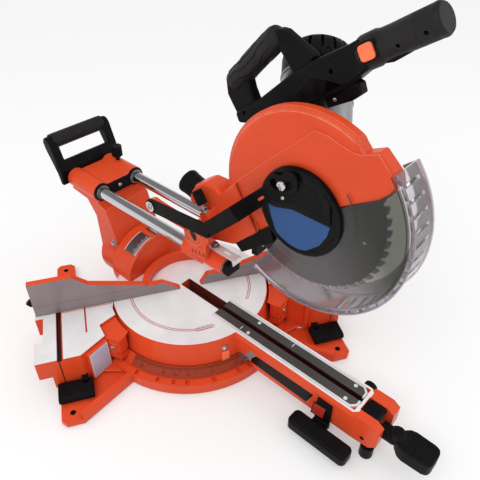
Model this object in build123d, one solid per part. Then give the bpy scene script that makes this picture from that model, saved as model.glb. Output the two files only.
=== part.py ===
from build123d import *
import math
import os

# Sliding compound mitre saw in millimetres, +Z up, -Y towards the user. The origin lies on the bench,
# at the centre of the four bench holes.
BENCH_SPAN_X = 486.0
BENCH_SPAN_Y = 376.0
BENCH_HOLE_R = 5.0
BENCH_BOSS_R = 9.0
AXIS_Y = -16.0          # turntable axis, measured from the origin
TABLE_Z = 85.0          # working surface above the bench
FOOT_H = 3.0            # rubber foot
FOOT_R = 12.0
RUN = 0.05              # running clearance of shafts and rods
GAP = 0.4               # clearance between faces that move past each other

# Setting shown: mitre swung to the right, head raised
MITRE = 31.6
HEAD_TILT = 33.0
MITRE_LIMIT = 45.0      # either side of square
CHOP_RANGE = 48.0
GUARD_RATIO = 2.85      # guard opening per degree of chop
LINK_RATIO = 1.105      # link swing per degree of chop

# Base casting
WALL = 7.0
TOP_T = 8.0
PLATFORM_R = 138.0
PLATFORM_Z = 46.0
SCALE_SECTOR = 124.0
TURN_R = PLATFORM_R + 11
SKIRT_R = TURN_R + 7
LIP_IN = SKIRT_R + 20
LIP_OUT = LIP_IN + 14
LIP_Z = 24.5
NOTCH_W = 7.0
WING_X = 250.0
WING_FRONT = -115.0
WING_REAR = 40.0
PAD_T = 10.0
PAD_EDGE = 19.0         # foot pad beyond its hole
GROOVE_W = 6.5
DUST_GROOVE = 1.8       # groove in the wing tops at the foot of the fence

# Extension tables
EXT_W = 40.0
EXT_DEPTH = 40.0
EXT_ROD_R = 7.0
EXT_ROD_Y = (-60.0, 15.0)
EXT_ROD_DROP = 27.0     # rod axis under the table
EXT_ROD_IN = 82.0       # rod length inside the wing
NOTCH_DEPTH = 14.0
LEVER_L = 60.0
LEVER_D = 38.0
LEVER_T = 14.0

# Fence
FENCE_Y = -2.3
FENCE_T = 12.0
FENCE_H = 23.0
FENCE_X = 288.0
FENCE_GAP = 20.0        # half opening at the table
UPPER_H = 53.0
UPPER_IN = 84.0         # inner end of the sliding fence
FENCE_TRAVEL = 70.0
BRIDGE_R = 91.0
BRIDGE_T = 12.0
SKIRT_T = 5.0
FENCE_BOLT_R = 4.0

# Turntable and arm
SKIRT_Z = 36.0
SKIRT_T2 = 7.0
ARM_HALF = 33.0
ARM_TOP_HALF = 28.5
ARM_END = 393.0
PRONG_END = 436.0
ARM_BOTTOM = 29.0
KERF_START = 85.0
KERF_END = 387.0
KERF_HALF = 4.5
KERF_PLATE_W = 19.7
KERF_PLATE_T = 5.0
CHANNEL_Z = 58.0
PIVOT_BOLT_R = 6.0
HOUSING_R = 72.0
HOUSING_REAR = -TURN_R - 1
HOUSING_FRONT = HOUSING_REAR + 55
BEVEL_BOLT_R = 8.0
POINTER_W = 12.0
POINTER_Z = 43.0

# Mitre lock handle and detent lever between the prongs of the arm
LOCK_P = -1.5
LOCK_Z = 52.0
LOCK_ROD_R = 6.0
LOCK_NECK_R = 13.0
PADDLE_T0 = 456.0
PADDLE_T1 = 515.0
PADDLE_W = 44.0
PADDLE_H = 30.0
PRONG_L = -17.0
PRONG_R = 12.0
PIN_R = 3.0
FOOT_T = 421.0          # adjustable foot under the left prong
FOOT_P = -25.0

# Bevel arm, rails and carriage
RAIL_R = 11.0
RAIL_P = 40.0
RAIL_Z = 240.0
RAIL_BACK = -300.0
RAIL_FRONT = 136.0
BUSH_T = 2.0
BLOCK_FRONT = -191.0
BLOCK_REAR = -275.0
LOBE_R = 19.0
SEAL_T = 4.0
COLUMN_HALF = 52.0
CLAMP_R = 17.0
CLAMP_BACK = 46.0
CLAMP_FRONT = 147.0
PIVOT_T = 60.0          # chop pivot ahead of the turntable axis
PIVOT_Z = 262.0
PIVOT_PIN_R = 7.0
KNUCKLE_R = 19.0
KNUCKLE_HALF = 22.0
EAR_T = 9.6

# Saw head, in its own frame: u forward along the handle, w up, p to the right, origin at the arbor
ARBOR_REACH = 224.0     # arbor ahead of the chop pivot
BLADE_R = 127.0
BLADE_T = 2.4
TEETH = 48
ARBOR_R = 8.0
FLANGE_R = 25.0
HOOD_R = BLADE_R + 14
HOOD_CUT = HOOD_R - 20  # forward limit of the hood's crown
HOOD_LEFT = -8.5
HOOD_RIGHT = 12.0
HOOD_WALL = 3.0
HOOD_RIM = 6.0
ARM_P = 18.0
GUARD_R = BLADE_R + 33
GUARD_RIM = 5.0
GUARD_LEFT = -12.9
GUARD_RIGHT = 36.0
GUARD_T = 2.5
GUARD_FROM = -152.0
GUARD_TO = 8.0
HUB_R = 66.0
HUB_T = 5.0
HUB_RING = 40.0
LINK_PIN_W = 44.0
LINK_W = 24.0
LINK_T = 4.0
LINK_OUT = -RAIL_P - LOBE_R - LINK_T - 1
LINK_IN = -26.0
LINK_STUD_R = 5.0
LINK_WALL = 5.5         # metal round the cam slot
LINK_REBATE_W = 6.5     # thinned lower edge that passes the left fence at full bevel
LINK_REBATE_T = 2.4
GEAR_R = 58.0
GEAR_RIGHT = 52.0
MOTOR_SLOPE = 54.0
MOTOR_P = 12.0
MOTOR_R = 51.0
MOTOR_FROM = 98.0
MOTOR_TO = 184.0
CAP_TO = 232.0
NECK_R = 42.0
HANDLE_LEFT = 38.0
HANDLE_RIGHT = 70.0
GRIP_R = 18.5
GRIP_W = 153.0
GRIP_END = 229.0
HANDLE_SCREWS = [(-80, 146), (88, 150), (196, 148), (216, 156)]
TRIGGER_U = 152.0
TRIGGER_W = 143.0
LOCK_OFF_U = 143.0
LOCK_OFF_Z = 154.0
LOCK_OFF_W = 20.0
PORT_R = 20.0
PORT_WALL = 5.0
PORT_U = -206.0         # root of the dust port
PORT_W = 62.0
PORT_PITCH = 48.0       # upward from straight back
PORT_L = 30.0
PORT_DEPTH = 20.0       # bore inside the elbow
STOP_U = -172.0
STOP_P = -31.0
STOP_R = 4.0


def face(points):
    """Flat face inside a closed outline."""
    return make_face(Polyline(*points, close=True))


def side(points, p0, p1):
    """Solid with a side outline (forward, up) between two sideways planes."""
    plane = Plane(origin=(p1, 0, 0), x_dir=(0, -1, 0), z_dir=(-1, 0, 0))
    return extrude(plane * face(points), amount=p1 - p0, dir=(-1, 0, 0))


def plan(points, z0, z1):
    """Solid with an outline seen from above (x, y) between two heights."""
    return extrude(Pos(0, 0, z0) * face(points), amount=z1 - z0, dir=(0, 0, 1))


def front(points, y0, y1):
    """Solid with an outline seen from the front (x, z) between two depths."""
    plane = Plane(origin=(0, y0, 0), x_dir=(1, 0, 0), z_dir=(0, -1, 0))
    return extrude(plane * face(points), amount=y1 - y0, dir=(0, 1, 0))


def box(x0, x1, y0, y1, z0, z1):
    """Block between two corners."""
    centre = Pos((x0 + x1) / 2, (y0 + y1) / 2, (z0 + z1) / 2)
    return centre * Box(abs(x1 - x0), abs(y1 - y0), abs(z1 - z0))


def bar(t0, t1, p0, p1, z0, z1):
    """Block given by its forward, sideways and upward limits."""
    return box(p0, p1, -t1, -t0, z0, z1)


def rod(start, end, radius):
    """Round bar from one point to another."""
    axis = Vector(*end) - Vector(*start)
    plane = Plane(origin=start, z_dir=axis)
    return plane * Cylinder(radius, axis.length, align=(Align.CENTER, Align.CENTER, Align.MIN))


def rod_t(t0, t1, p, z, radius):
    """Round bar along the forward direction."""
    return rod((p, -t0, z), (p, -t1, z), radius)


def rod_p(p0, p1, t, z, radius):
    """Round bar along the sideways direction."""
    return rod((p0, -t, z), (p1, -t, z), radius)


def rod_z(z0, z1, x, y, radius):
    """Upright round bar."""
    return rod((x, y, z0), (x, y, z1), radius)


def tube_t(t0, t1, p, z, outer, inner):
    """Sleeve along the forward direction."""
    return rod_t(t0, t1, p, z, outer) - rod_t(t0 - 1, t1 + 1, p, z, inner)


def tube_p(p0, p1, t, z, outer, inner):
    """Sleeve along the sideways direction."""
    return rod_p(p0, p1, t, z, outer) - rod_p(p0 - 1, p1 + 1, t, z, inner)


def turned(points, start, angle):
    """Solid turned about Z from an outline (radius, height), from one angle through another."""
    return Rot(0, 0, start) * revolve(Plane.XZ * face(points), Axis.Z, angle)


def both(solid):
    """A piece and its mirror image across the middle plane."""
    return solid + mirror(solid, about=Plane.YZ)


def mirrored(solid):
    """The mirror image of a piece across the middle plane."""
    return mirror(solid, about=Plane.YZ)


BENCH_X = BENCH_SPAN_X / 2
BENCH_FRONT = -BENCH_SPAN_Y / 2 - AXIS_Y
BENCH_REAR = BENCH_SPAN_Y / 2 - AXIS_Y
BASE = Pos(0, AXIS_Y, 0)
TABLE = BASE * Rot(0, 0, MITRE)
HEAD = TABLE * Location((0, -PIVOT_T, PIVOT_Z), (-HEAD_TILT, 0, 0)) * Pos(0, -ARBOR_REACH, 0)
PAD_Z = FOOT_H + PAD_T
TABLE_LOW = TABLE_Z - TOP_T
EXT_IN = WING_X + GAP
EXT_OUT = WING_X + EXT_W
EXT_ROD_Z = TABLE_Z - EXT_ROD_DROP
FENCE_BACK = FENCE_Y + FENCE_T
FENCE_LOW = TABLE_Z + 0.6
FENCE_TOP = TABLE_Z + FENCE_H
UPPER_LOW = FENCE_TOP + GAP
UPPER_TOP = UPPER_LOW + UPPER_H
FENCE_LOCK_X = FENCE_X - 26
FENCE_LOCK_Z = FENCE_TOP - 9
FENCE_BOLTS = [(x, FENCE_BACK + 15) for x in (185.0, 225.0)]
RIB_X = WING_X - 48
LINK_T0 = PIVOT_T - 69
LINK_Z0 = PIVOT_Z + 40


# Base: platform, scale ring, wings and feet

def wing_outline():
    """Top of the right wing, seen from above."""
    inner = [(x * LIP_OUT, y * LIP_OUT) for x, y in ((0.905, -0.432), (0.942, -0.284), (0.795, -0.195))]
    front = [(WING_X, WING_FRONT), (WING_X - 35, WING_FRONT)]
    return front + inner + [(PLATFORM_R - 18, -18), (PLATFORM_R - 18, WING_REAR), (WING_X, WING_REAR)]


def wing():
    """Right wing table, hollow from below, with the bores of its extension rods."""
    outline = face(wing_outline())
    body = extrude(Pos(0, 0, PAD_Z) * outline, amount=TABLE_Z - PAD_Z, dir=(0, 0, 1))
    inner = offset(outline, amount=-WALL, kind=Kind.INTERSECTION)
    hollow = extrude(inner, amount=TABLE_LOW, dir=(0, 0, 1))
    hollow -= rod_z(0, TABLE_Z, 0, 0, SKIRT_R + 4 + WALL)
    body -= hollow
    for x in (RIB_X, WING_X - 22):
        body += box(x - 4, x + 4, WING_FRONT + 4, WING_REAR - 4, PAD_Z, TABLE_LOW + 1)
    corners = [(0.942, -0.284), (0.905, -0.437), (0.79, -0.516), (0.742, -0.48), (0.621, -0.316),
               (0.737, -0.158)]
    shoulder = plan([(x * LIP_OUT, y * LIP_OUT) for x, y in corners], LIP_Z + 6, TABLE_Z - 6)
    pointer_side = ARM_HALF + POINTER_W
    pocket = bar(SKIRT_R - 4, LIP_OUT - 4, ARM_HALF - 2, pointer_side + 2, POINTER_Z - 0.7, POINTER_Z + 3.7)
    body += shoulder - Rot(0, 0, MITRE_LIMIT) * pocket
    body -= rod_z(0, TABLE_Z - TOP_T, 0, 0, SKIRT_R + 4)
    body -= rod_z(0, TABLE_Z + 1, 0, 0, TURN_R + 4)
    body -= box(WING_X - GROOVE_W, WING_X + 1, WING_FRONT - 1, WING_REAR + 1, TABLE_Z - 6, TABLE_Z + 1)
    body -= box(RIB_X - 1.5, RIB_X + 1.5, -65, WING_REAR + 1, TABLE_Z - 2.5, TABLE_Z + 1)
    groove_y = FENCE_Y - 0.7
    body -= box(PLATFORM_R - 30, WING_X + 1, groove_y - DUST_GROOVE, groove_y, TABLE_Z - 1, TABLE_Z + 1)
    for y in EXT_ROD_Y:
        body -= rod((WING_X - EXT_ROD_IN - 1, y, EXT_ROD_Z), (WING_X + 1, y, EXT_ROD_Z), EXT_ROD_R + RUN)
    for x, y in FENCE_BOLTS:
        body -= rod_z(TABLE_LOW - 1, TABLE_Z + 1, x, y, FENCE_BOLT_R + RUN)
    return body


def feet():
    """Right front and rear bench feet with their struts."""
    edge_x = BENCH_X + PAD_EDGE
    y0 = BENCH_FRONT - PAD_EDGE
    pad = [(edge_x, WING_FRONT + 3), (edge_x, y0 + 8), (edge_x - 8, y0), (BENCH_X - 17, y0),
           (BENCH_X - 38, BENCH_FRONT + 22), (WING_X - 35, WING_FRONT + 3)]
    body = plan(pad, FOOT_H, PAD_Z)
    strut = [(BENCH_X - 17, y0), (BENCH_X - 11, y0 + 8), (LIP_OUT * 0.745, -LIP_OUT * 0.63),
             (LIP_OUT * 0.70, -LIP_OUT * 0.67)]
    body += plan(strut, FOOT_H, LIP_Z - 1)
    cheek = [(BENCH_X - 38, BENCH_FRONT + 22), (BENCH_X - 31, BENCH_FRONT + 22),
             (WING_X - 28, WING_FRONT + 3), (WING_X - 36, WING_FRONT + 3)]
    body += plan(cheek, FOOT_H, PAD_Z + 2)
    web = [(BENCH_X - 14, y0 + 4), (BENCH_X - 30, BENCH_FRONT + 22), (WING_X - 30, WING_FRONT + 6),
           (LIP_OUT * 0.80, -LIP_OUT * 0.48), (LIP_OUT * 0.72, -LIP_OUT * 0.64)]
    body += plan(web, FOOT_H, PAD_Z - 1)
    y1 = BENCH_REAR + PAD_EDGE
    rear = [(BENCH_X - 19, BENCH_REAR - 50), (edge_x, BENCH_REAR - 50), (edge_x, y1 - 8), (edge_x - 8, y1),
            (BENCH_X - 11, y1), (BENCH_X - 19, y1 - 8)]
    body += plan(rear, FOOT_H, PAD_Z)
    body += box(BENCH_X - 15, BENCH_X + 5, WING_REAR - 3, BENCH_REAR - 46, FOOT_H, FOOT_H + 32)
    for y in (BENCH_FRONT, BENCH_REAR):
        body += rod_z(0, FOOT_H + 1, BENCH_X, y, BENCH_BOSS_R)
        body -= rod_z(-1, PAD_Z + 1, BENCH_X, y, BENCH_HOLE_R)
    return body


def lever_lug():
    """Lug on the wing front that carries the extension lock lever."""
    x = WING_X - 33
    y = WING_FRONT
    lug = box(x - 5, x + 5, y - 9, y + 2, PAD_Z + 5, PAD_Z + 21)
    return lug - rod((x - 6, y - 5, PAD_Z + 13), (x + 6, y - 5, PAD_Z + 13), PIN_R + RUN)


def base_casting():
    """Base casting: platform, scale ring, wings and feet in one piece."""
    body = rod_z(FOOT_H + 5, PLATFORM_Z, 0, 0, PLATFORM_R)
    body -= rod_z(0, PLATFORM_Z - 10, 0, 0, PLATFORM_R - 12)
    body += rod_z(FOOT_H + 5, PLATFORM_Z - 5, 0, 0, 4 * PIVOT_BOLT_R)
    for angle in (0, 60, 120):
        body += Rot(0, 0, angle) * box(-PLATFORM_R + 5, PLATFORM_R - 5, -4, 4, FOOT_H + 5, PLATFORM_Z - 5)
    low = SKIRT_Z - 3
    ring = [(PLATFORM_R - 6, 5), (PLATFORM_R - 6, low), (SKIRT_R + 2, low), (SKIRT_R + 2, low + 4.5),
            (LIP_IN - 4, LIP_Z - 2.5), (LIP_IN, LIP_Z - 2.5), (LIP_IN, LIP_Z), (LIP_OUT, LIP_Z),
            (LIP_OUT, FOOT_H), (LIP_OUT - 6, FOOT_H), (LIP_OUT - 6, LIP_Z - 8), (LIP_IN - 6, LIP_Z - 8),
            (SKIRT_R, low - 6), (PLATFORM_R + 2, low - 6), (PLATFORM_R + 2, 5)]
    body += turned(ring, -90 - SCALE_SECTOR / 2, SCALE_SECTOR)
    for angle in (-45, -31.6, -22.5, -15, 0, 15, 22.5, 31.6, 45):
        notch = bar(LIP_IN - 1, LIP_OUT - 4, -NOTCH_W / 2, NOTCH_W / 2, LIP_Z - 5, LIP_Z + 1)
        body -= Rot(0, 0, angle) * notch
    web = box(PLATFORM_R - 8, SKIRT_R + 18, -52, WING_REAR, FOOT_H + 5, SKIRT_Z - 4)
    body += both(wing() + feet() + lever_lug() + web)
    return body - rod_z(0, PLATFORM_Z + 1, 0, 0, PIVOT_BOLT_R + RUN)


def mitre_scale():
    """Thin graduated plate on the sloping face of the scale ring."""
    low = SKIRT_Z - 3
    plate = [(SKIRT_R + 2.6, low + 4.1), (LIP_IN - 4.4, LIP_Z - 2.0), (LIP_IN - 3.4, LIP_Z - 1.0),
             (SKIRT_R + 3.4, low + 5.1)]
    return turned(plate, -90 - SCALE_SECTOR / 2 + 10, SCALE_SECTOR - 20)


def rubber_feet():
    """Four round rubber feet beside the bench holes."""
    front_y = BENCH_FRONT + 22
    rear_y = BENCH_REAR - 26
    right = rod_z(0, FOOT_H, BENCH_X, front_y, FOOT_R) + rod_z(0, FOOT_H, BENCH_X, rear_y, FOOT_R)
    return both(right)


def lower_fence():
    """Fixed fence: both lower walls, their bolt flanges and the arch that joins them at the back."""
    left = [(-FENCE_X, FENCE_LOW), (-FENCE_GAP, FENCE_LOW), (-FENCE_GAP - 32, FENCE_TOP),
            (-FENCE_X, FENCE_TOP)]
    right = [(FENCE_GAP, FENCE_LOW), (FENCE_X, FENCE_LOW), (FENCE_X, FENCE_TOP),
             (FENCE_GAP + 14, FENCE_TOP)]
    body = front(left, FENCE_Y, FENCE_BACK) + front(right, FENCE_Y, FENCE_BACK)
    body += both(box(170, 240, FENCE_BACK - 4, FENCE_BACK + 26, TABLE_Z, TABLE_Z + 7))
    arch = rod_z(FENCE_LOW, FENCE_TOP - 3, 0, 0, BRIDGE_R) - rod_z(0, FENCE_TOP, 0, 0, BRIDGE_R - BRIDGE_T)
    body += arch & box(-BRIDGE_R, BRIDGE_R, FENCE_BACK - 3, BRIDGE_R, 0, FENCE_TOP)
    for x, y in FENCE_BOLTS:
        body -= both(rod_z(TABLE_Z - 1, TABLE_Z + 9, x, y, FENCE_BOLT_R + RUN))
    x = FENCE_LOCK_X
    z = FENCE_LOCK_Z
    stud = rod((x, FENCE_Y + 4, z), (x, FENCE_BACK + 1, z), PIN_R + RUN)
    return body - both(stud)


def base_fasteners():
    """Four fence bolts and the turntable pivot bolt with its head under the platform."""
    parts = rod_z(FOOT_H, FOOT_H + 5, 0, 0, 1.7 * PIVOT_BOLT_R)
    parts += rod_z(FOOT_H, CHANNEL_Z - 4, 0, 0, PIVOT_BOLT_R)
    for x, y in FENCE_BOLTS:
        bolt = rod_z(TABLE_LOW + 1, TABLE_Z + 7, x, y, FENCE_BOLT_R)
        bolt += rod_z(TABLE_Z + 7, TABLE_Z + 12, x, y, 1.7 * FENCE_BOLT_R)
        parts += both(bolt)
    return parts


# Extension tables and their locks

def extension():
    """Right extension table with its finger notch and stepped front wall."""
    outer = [(EXT_IN, WING_FRONT), (EXT_OUT, WING_FRONT), (EXT_OUT, -70), (EXT_OUT - NOTCH_DEPTH, -70),
             (EXT_OUT - NOTCH_DEPTH, -10), (EXT_OUT, -10), (EXT_OUT, WING_REAR), (EXT_IN, WING_REAR)]
    outline = face(outer)
    low = TABLE_Z - EXT_DEPTH
    body = extrude(Pos(0, 0, low) * outline, amount=EXT_DEPTH, dir=(0, 0, 1))
    inner = offset(outline, amount=-WALL + 1, kind=Kind.INTERSECTION)
    body -= extrude(Pos(0, 0, low - 1) * inner, amount=EXT_DEPTH - TOP_T + 1, dir=(0, 0, 1))
    body += box(EXT_IN, EXT_IN + 18, WING_FRONT, WING_FRONT + 6, PAD_Z + 3, low + 1)
    body += box(EXT_IN, EXT_IN + 6, WING_FRONT, WING_REAR, PAD_Z + 3, low + 1)
    body -= box(EXT_IN - 1, EXT_IN + GROOVE_W / 2, WING_FRONT - 1, WING_REAR + 1, TABLE_Z - 6, TABLE_Z + 1)
    for y in EXT_ROD_Y:
        body -= rod((EXT_IN - 1, y, EXT_ROD_Z), (EXT_IN + 10, y, EXT_ROD_Z), EXT_ROD_R + RUN)
    return body


def extension_rods():
    """Two steel rods that carry the right extension table in the wing."""
    x0 = WING_X - EXT_ROD_IN
    return [rod((x0, y, EXT_ROD_Z), (EXT_IN + 6, y, EXT_ROD_Z), EXT_ROD_R) for y in EXT_ROD_Y]


def extension_lock():
    """Flip lever under the right wing front, with its pin in the lug."""
    x = WING_X - 33
    y = WING_FRONT - 5
    z = PAD_Z + 13
    x0 = WING_X - 46
    outline = [(y + 2.5, z - 10), (y + 2.5, z + 3), (y - 2, z + 5), (y - LEVER_D + 8, z + 2),
               (y - LEVER_D + 2.5, z - 3), (y - LEVER_D + 4, z - 10)]
    end = Plane(origin=(x0, 0, 0), x_dir=(0, 1, 0), z_dir=(1, 0, 0))
    lever = extrude(end * face(outline), amount=LEVER_L)
    lever -= box(x - 5 - GAP, x + 5 + GAP, y - 10, y + 6, 0, TABLE_Z)
    return lever + rod((x - 7, y, z), (x + 7, y, z), PIN_R)


# Sliding upper fences and their locks

def upper_fence():
    """Left sliding fence with the skirt that hooks over the lower wall."""
    top = [(-FENCE_X, UPPER_LOW), (-UPPER_IN, UPPER_LOW), (-UPPER_IN, UPPER_LOW + 3),
           (-UPPER_IN - 102, UPPER_TOP - 23), (-UPPER_IN - 128, UPPER_TOP), (-FENCE_X, UPPER_TOP)]
    body = front(top, FENCE_Y, FENCE_BACK)
    skirt_y = FENCE_BACK + GAP
    low = TABLE_Z + 8
    body += box(-FENCE_X, -150, FENCE_BACK - 2, skirt_y + SKIRT_T, UPPER_LOW, UPPER_LOW + 10)
    body += box(-FENCE_X, -150, skirt_y, skirt_y + SKIRT_T, low, UPPER_LOW + 5)
    half = PIN_R + 1
    slot_x = -FENCE_LOCK_X - half
    slot = box(slot_x, slot_x + FENCE_TRAVEL + 2 * half, skirt_y - 1, skirt_y + SKIRT_T + 1,
               FENCE_LOCK_Z - half, FENCE_LOCK_Z + half)
    return body - slot


def fence_lock():
    """Left fence lock lever: stud, hub and thumb piece."""
    y = FENCE_BACK + GAP + SKIRT_T + GAP
    x = -FENCE_LOCK_X
    z = FENCE_LOCK_Z
    body = rod((x, FENCE_Y + 5, z), (x, y + 2, z), PIN_R) + rod((x, y, z), (x, y + 9, z), 9)
    blade = [(x, z - 6), (x, z + 6), (x - 34, z + 9), (x - 40, z + 3), (x - 34, z - 5)]
    return body + front(blade, y + 2, y + 9)


# Turntable

def turntable():
    """Turntable: disc with skirt, forked arm with its blade channel, and the bevel housing."""
    disc = [(0, TABLE_LOW), (0, TABLE_Z), (TURN_R - 1, TABLE_Z), (TURN_R, TABLE_Z - 1),
            (SKIRT_R, SKIRT_Z + 4), (SKIRT_R, SKIRT_Z), (SKIRT_R - SKIRT_T2, SKIRT_Z),
            (TURN_R - SKIRT_T2, TABLE_LOW)]
    body = turned(disc, 0, 360)
    body += rod_z(PLATFORM_Z + GAP, CHANNEL_Z, 0, 0, 5 * PIVOT_BOLT_R)
    body += rod_z(PLATFORM_Z + GAP, TABLE_LOW + 1, 0, 0, 120) - rod_z(0, TABLE_LOW + 2, 0, 0, 108)
    body += bar(-24, TURN_R - 10, -17, 22, CHANNEL_Z - 6, TABLE_LOW + 1)
    section = [(-ARM_HALF, 42), (ARM_HALF, 42), (ARM_HALF, TABLE_Z - 6), (ARM_TOP_HALF, TABLE_Z),
               (-ARM_TOP_HALF, TABLE_Z), (-ARM_HALF, TABLE_Z - 6)]
    body += front(section, -ARM_END, -PLATFORM_R - 4)
    keel = [(LIP_OUT - 10, 42.5), (LIP_OUT + 6, ARM_BOTTOM), (ARM_END, ARM_BOTTOM), (ARM_END, 42.5)]
    body += side(keel, -ARM_HALF, ARM_HALF)
    prong = [(ARM_END - 1, TABLE_Z), (PRONG_END - 12, TABLE_Z), (PRONG_END, TABLE_Z - 8),
             (PRONG_END, ARM_BOTTOM + 15), (PRONG_END - 12, ARM_BOTTOM + 3), (ARM_END - 1, ARM_BOTTOM)]
    body += side(prong, -ARM_HALF, PRONG_L) + side(prong, PRONG_R, ARM_HALF)
    body -= bar(LIP_OUT + 14, ARM_END - 12, -ARM_HALF + WALL, ARM_HALF - WALL, 0, CHANNEL_Z - 8)
    body += housing()
    body -= bar(-18, KERF_END + 1, -9, 14, CHANNEL_Z, TABLE_Z + 1)
    recess = KERF_HALF + KERF_PLATE_W + GAP
    body -= bar(KERF_START - GAP, KERF_END + GAP, -recess, recess, TABLE_Z - KERF_PLATE_T, TABLE_Z + 1)
    body -= rod_z(0, CHANNEL_Z - 3, 0, 0, PIVOT_BOLT_R + RUN)
    for t, p in kerf_screw_places():
        body -= rod_z(CHANNEL_Z, TABLE_Z, p, -t, 2)
    body -= rod_t(ARM_END - 8, ARM_END + 1, LOCK_P, LOCK_Z, LOCK_ROD_R + RUN)
    body -= rod_p(PRONG_L - 4, PRONG_R + 4, ARM_END + 9, TABLE_Z - 9, PIN_R + RUN)
    body -= rod_p(ARM_HALF - 9, ARM_HALF + 1, ARM_END - 15, TABLE_Z - 22, 4 + RUN)
    body -= rod_z(0, ARM_BOTTOM + 18, FOOT_P, -FOOT_T, 4 + RUN)
    body -= bar(-SKIRT_R - 10, HOUSING_REAR, -HOUSING_R - 3, HOUSING_R + 3, 0, 3 * TABLE_Z)
    return body - rod_t(HOUSING_REAR - 1, HOUSING_FRONT - 14, 0, TABLE_Z, BEVEL_BOLT_R)


def housing():
    """Half-round bevel housing at the back of the turntable."""
    drum = rod_t(HOUSING_REAR, HOUSING_FRONT, 0, TABLE_Z, HOUSING_R)
    return drum & bar(HOUSING_REAR, HOUSING_FRONT, -HOUSING_R, HOUSING_R, PLATFORM_Z + 4, 2 * TABLE_Z)


def kerf_screw_places():
    """Forward and sideways places of the kerf plate screws."""
    p = KERF_HALF + 0.72 * KERF_PLATE_W
    return [(t, s * p) for t in (KERF_START + 78, KERF_END - 22) for s in (-1, 1)]


def kerf_plate(right):
    """Kerf plate of one side; the right one is undercut so that the blade can tilt."""
    low = TABLE_Z - KERF_PLATE_T
    outer = KERF_HALF + KERF_PLATE_W
    under = KERF_HALF + KERF_PLATE_T + 0.5
    if right:
        section = [(KERF_HALF, TABLE_Z), (outer, TABLE_Z), (outer, low), (under, low)]
    else:
        section = [(-outer, low), (-KERF_HALF, low), (-KERF_HALF, TABLE_Z), (-outer, TABLE_Z)]
    plate = front(section, -KERF_END, -KERF_START)
    sign = 1 if right else -1
    corner = [(sign * (outer + 1), -KERF_END - 1), (sign * (outer - 9), -KERF_END - 1),
              (sign * (outer + 1), -KERF_END + 9)]
    plate -= plan(corner, low - 1, TABLE_Z + 1)
    for t, p in kerf_screw_places():
        plate -= rod_z(low - 1, TABLE_Z + 1, p, -t, 4)
    return plate


def kerf_screws():
    """Four countersunk kerf plate screws."""
    screws = []
    for t, p in kerf_screw_places():
        head = rod_z(TABLE_Z - KERF_PLATE_T, TABLE_Z - 0.3, p, -t, 4)
        screws.append(head + rod_z(CHANNEL_Z + 6, TABLE_Z - 1, p, -t, 2))
    return screws


def mitre_pointer():
    """Clear pointer on the left wall of the arm, over the mitre scale."""
    outline = [(-ARM_HALF, -LIP_IN + 18), (-ARM_HALF, -LIP_IN - 4), (-ARM_HALF - POINTER_W / 2, -LIP_IN - 4),
               (-ARM_HALF - POINTER_W, -LIP_IN + 8)]
    return plan(outline, POINTER_Z, POINTER_Z + 3)


def bevel_scale():
    """Two curved plates on the bevel housing: graduations on the left, zero mark on the right."""
    ring = tube_t(HOUSING_REAR + 22, HOUSING_FRONT - 2, 0, TABLE_Z, HOUSING_R + 1.2, HOUSING_R + 0.1)
    plates = []
    for a0, a1 in ((96, 134), (60, 86)):
        angles = [math.radians(a) for a in (a0, a1)]
        corners = [(2 * HOUSING_R * math.cos(a), 2 * HOUSING_R * math.sin(a)) for a in angles]
        wedge = [(0, TABLE_Z)] + [(p, TABLE_Z + z) for p, z in corners]
        plates.append(ring & front(wedge, 0, -HOUSING_REAR))
    return plates


def stabiliser_bar():
    """Bar beside the arm with the upright tab that holds it to the arm wall."""
    low = FOOT_H + 11
    t0 = ARM_END - 93
    out = -ARM_HALF - 45
    body = bar(t0, ARM_END + 17, out, out + 30, low, low + 20)
    body = fillet(body.edges().filter_by(Axis.Z), 9)
    body = fillet(body.faces().sort_by(Axis.Z)[-1].edges(), 6)
    body -= bar(t0 + 10, ARM_END + 7, out + 8, out + 22, low - 1, low + 12)
    body += bar(t0 + 28, t0 + 56, out + 28, -ARM_HALF, low, low + 9)
    return body + bar(t0 + 28, t0 + 56, -ARM_HALF - 4, -ARM_HALF, low, low + 58)


def bevel_pivot_bolt():
    """Bolt on the bevel axis, fixed in the housing and carrying the bevel arm."""
    return rod_t(HOUSING_REAR - 80, HOUSING_FRONT - 14, 0, TABLE_Z, BEVEL_BOLT_R)


def mitre_lock_handle():
    """Twist handle: rod, round neck and ribbed paddle."""
    body = rod_t(ARM_END - 6, PADDLE_T0, LOCK_P, LOCK_Z, LOCK_ROD_R)
    body += rod_t(PRONG_END - 9, PADDLE_T0 + 4, LOCK_P, LOCK_Z, LOCK_NECK_R)
    half = PADDLE_W / 2
    top = PADDLE_H / 2
    outline = [(PADDLE_T0, LOCK_Z - top * 0.8), (PADDLE_T0, LOCK_Z + top), (PADDLE_T1 - 16, LOCK_Z + top * 0.7),
               (PADDLE_T1, LOCK_Z + top * 0.2), (PADDLE_T1, LOCK_Z - top * 0.5), (PADDLE_T1 - 10, LOCK_Z - top)]
    paddle = side(outline, LOCK_P - half, LOCK_P + half)
    paddle = fillet(paddle.edges().filter_by(Axis.Z, tolerance=30).group_by(Axis.Y)[0], 8)
    for k in range(5):
        t = PADDLE_T0 + 14 + 8 * k
        paddle -= bar(t, t + 3, LOCK_P - half - 1, LOCK_P - half + 3, 0, TABLE_Z + 20)
        paddle -= bar(t, t + 3, LOCK_P + half - 3, LOCK_P + half + 1, 0, TABLE_Z + 20)
    return body + paddle


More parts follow.
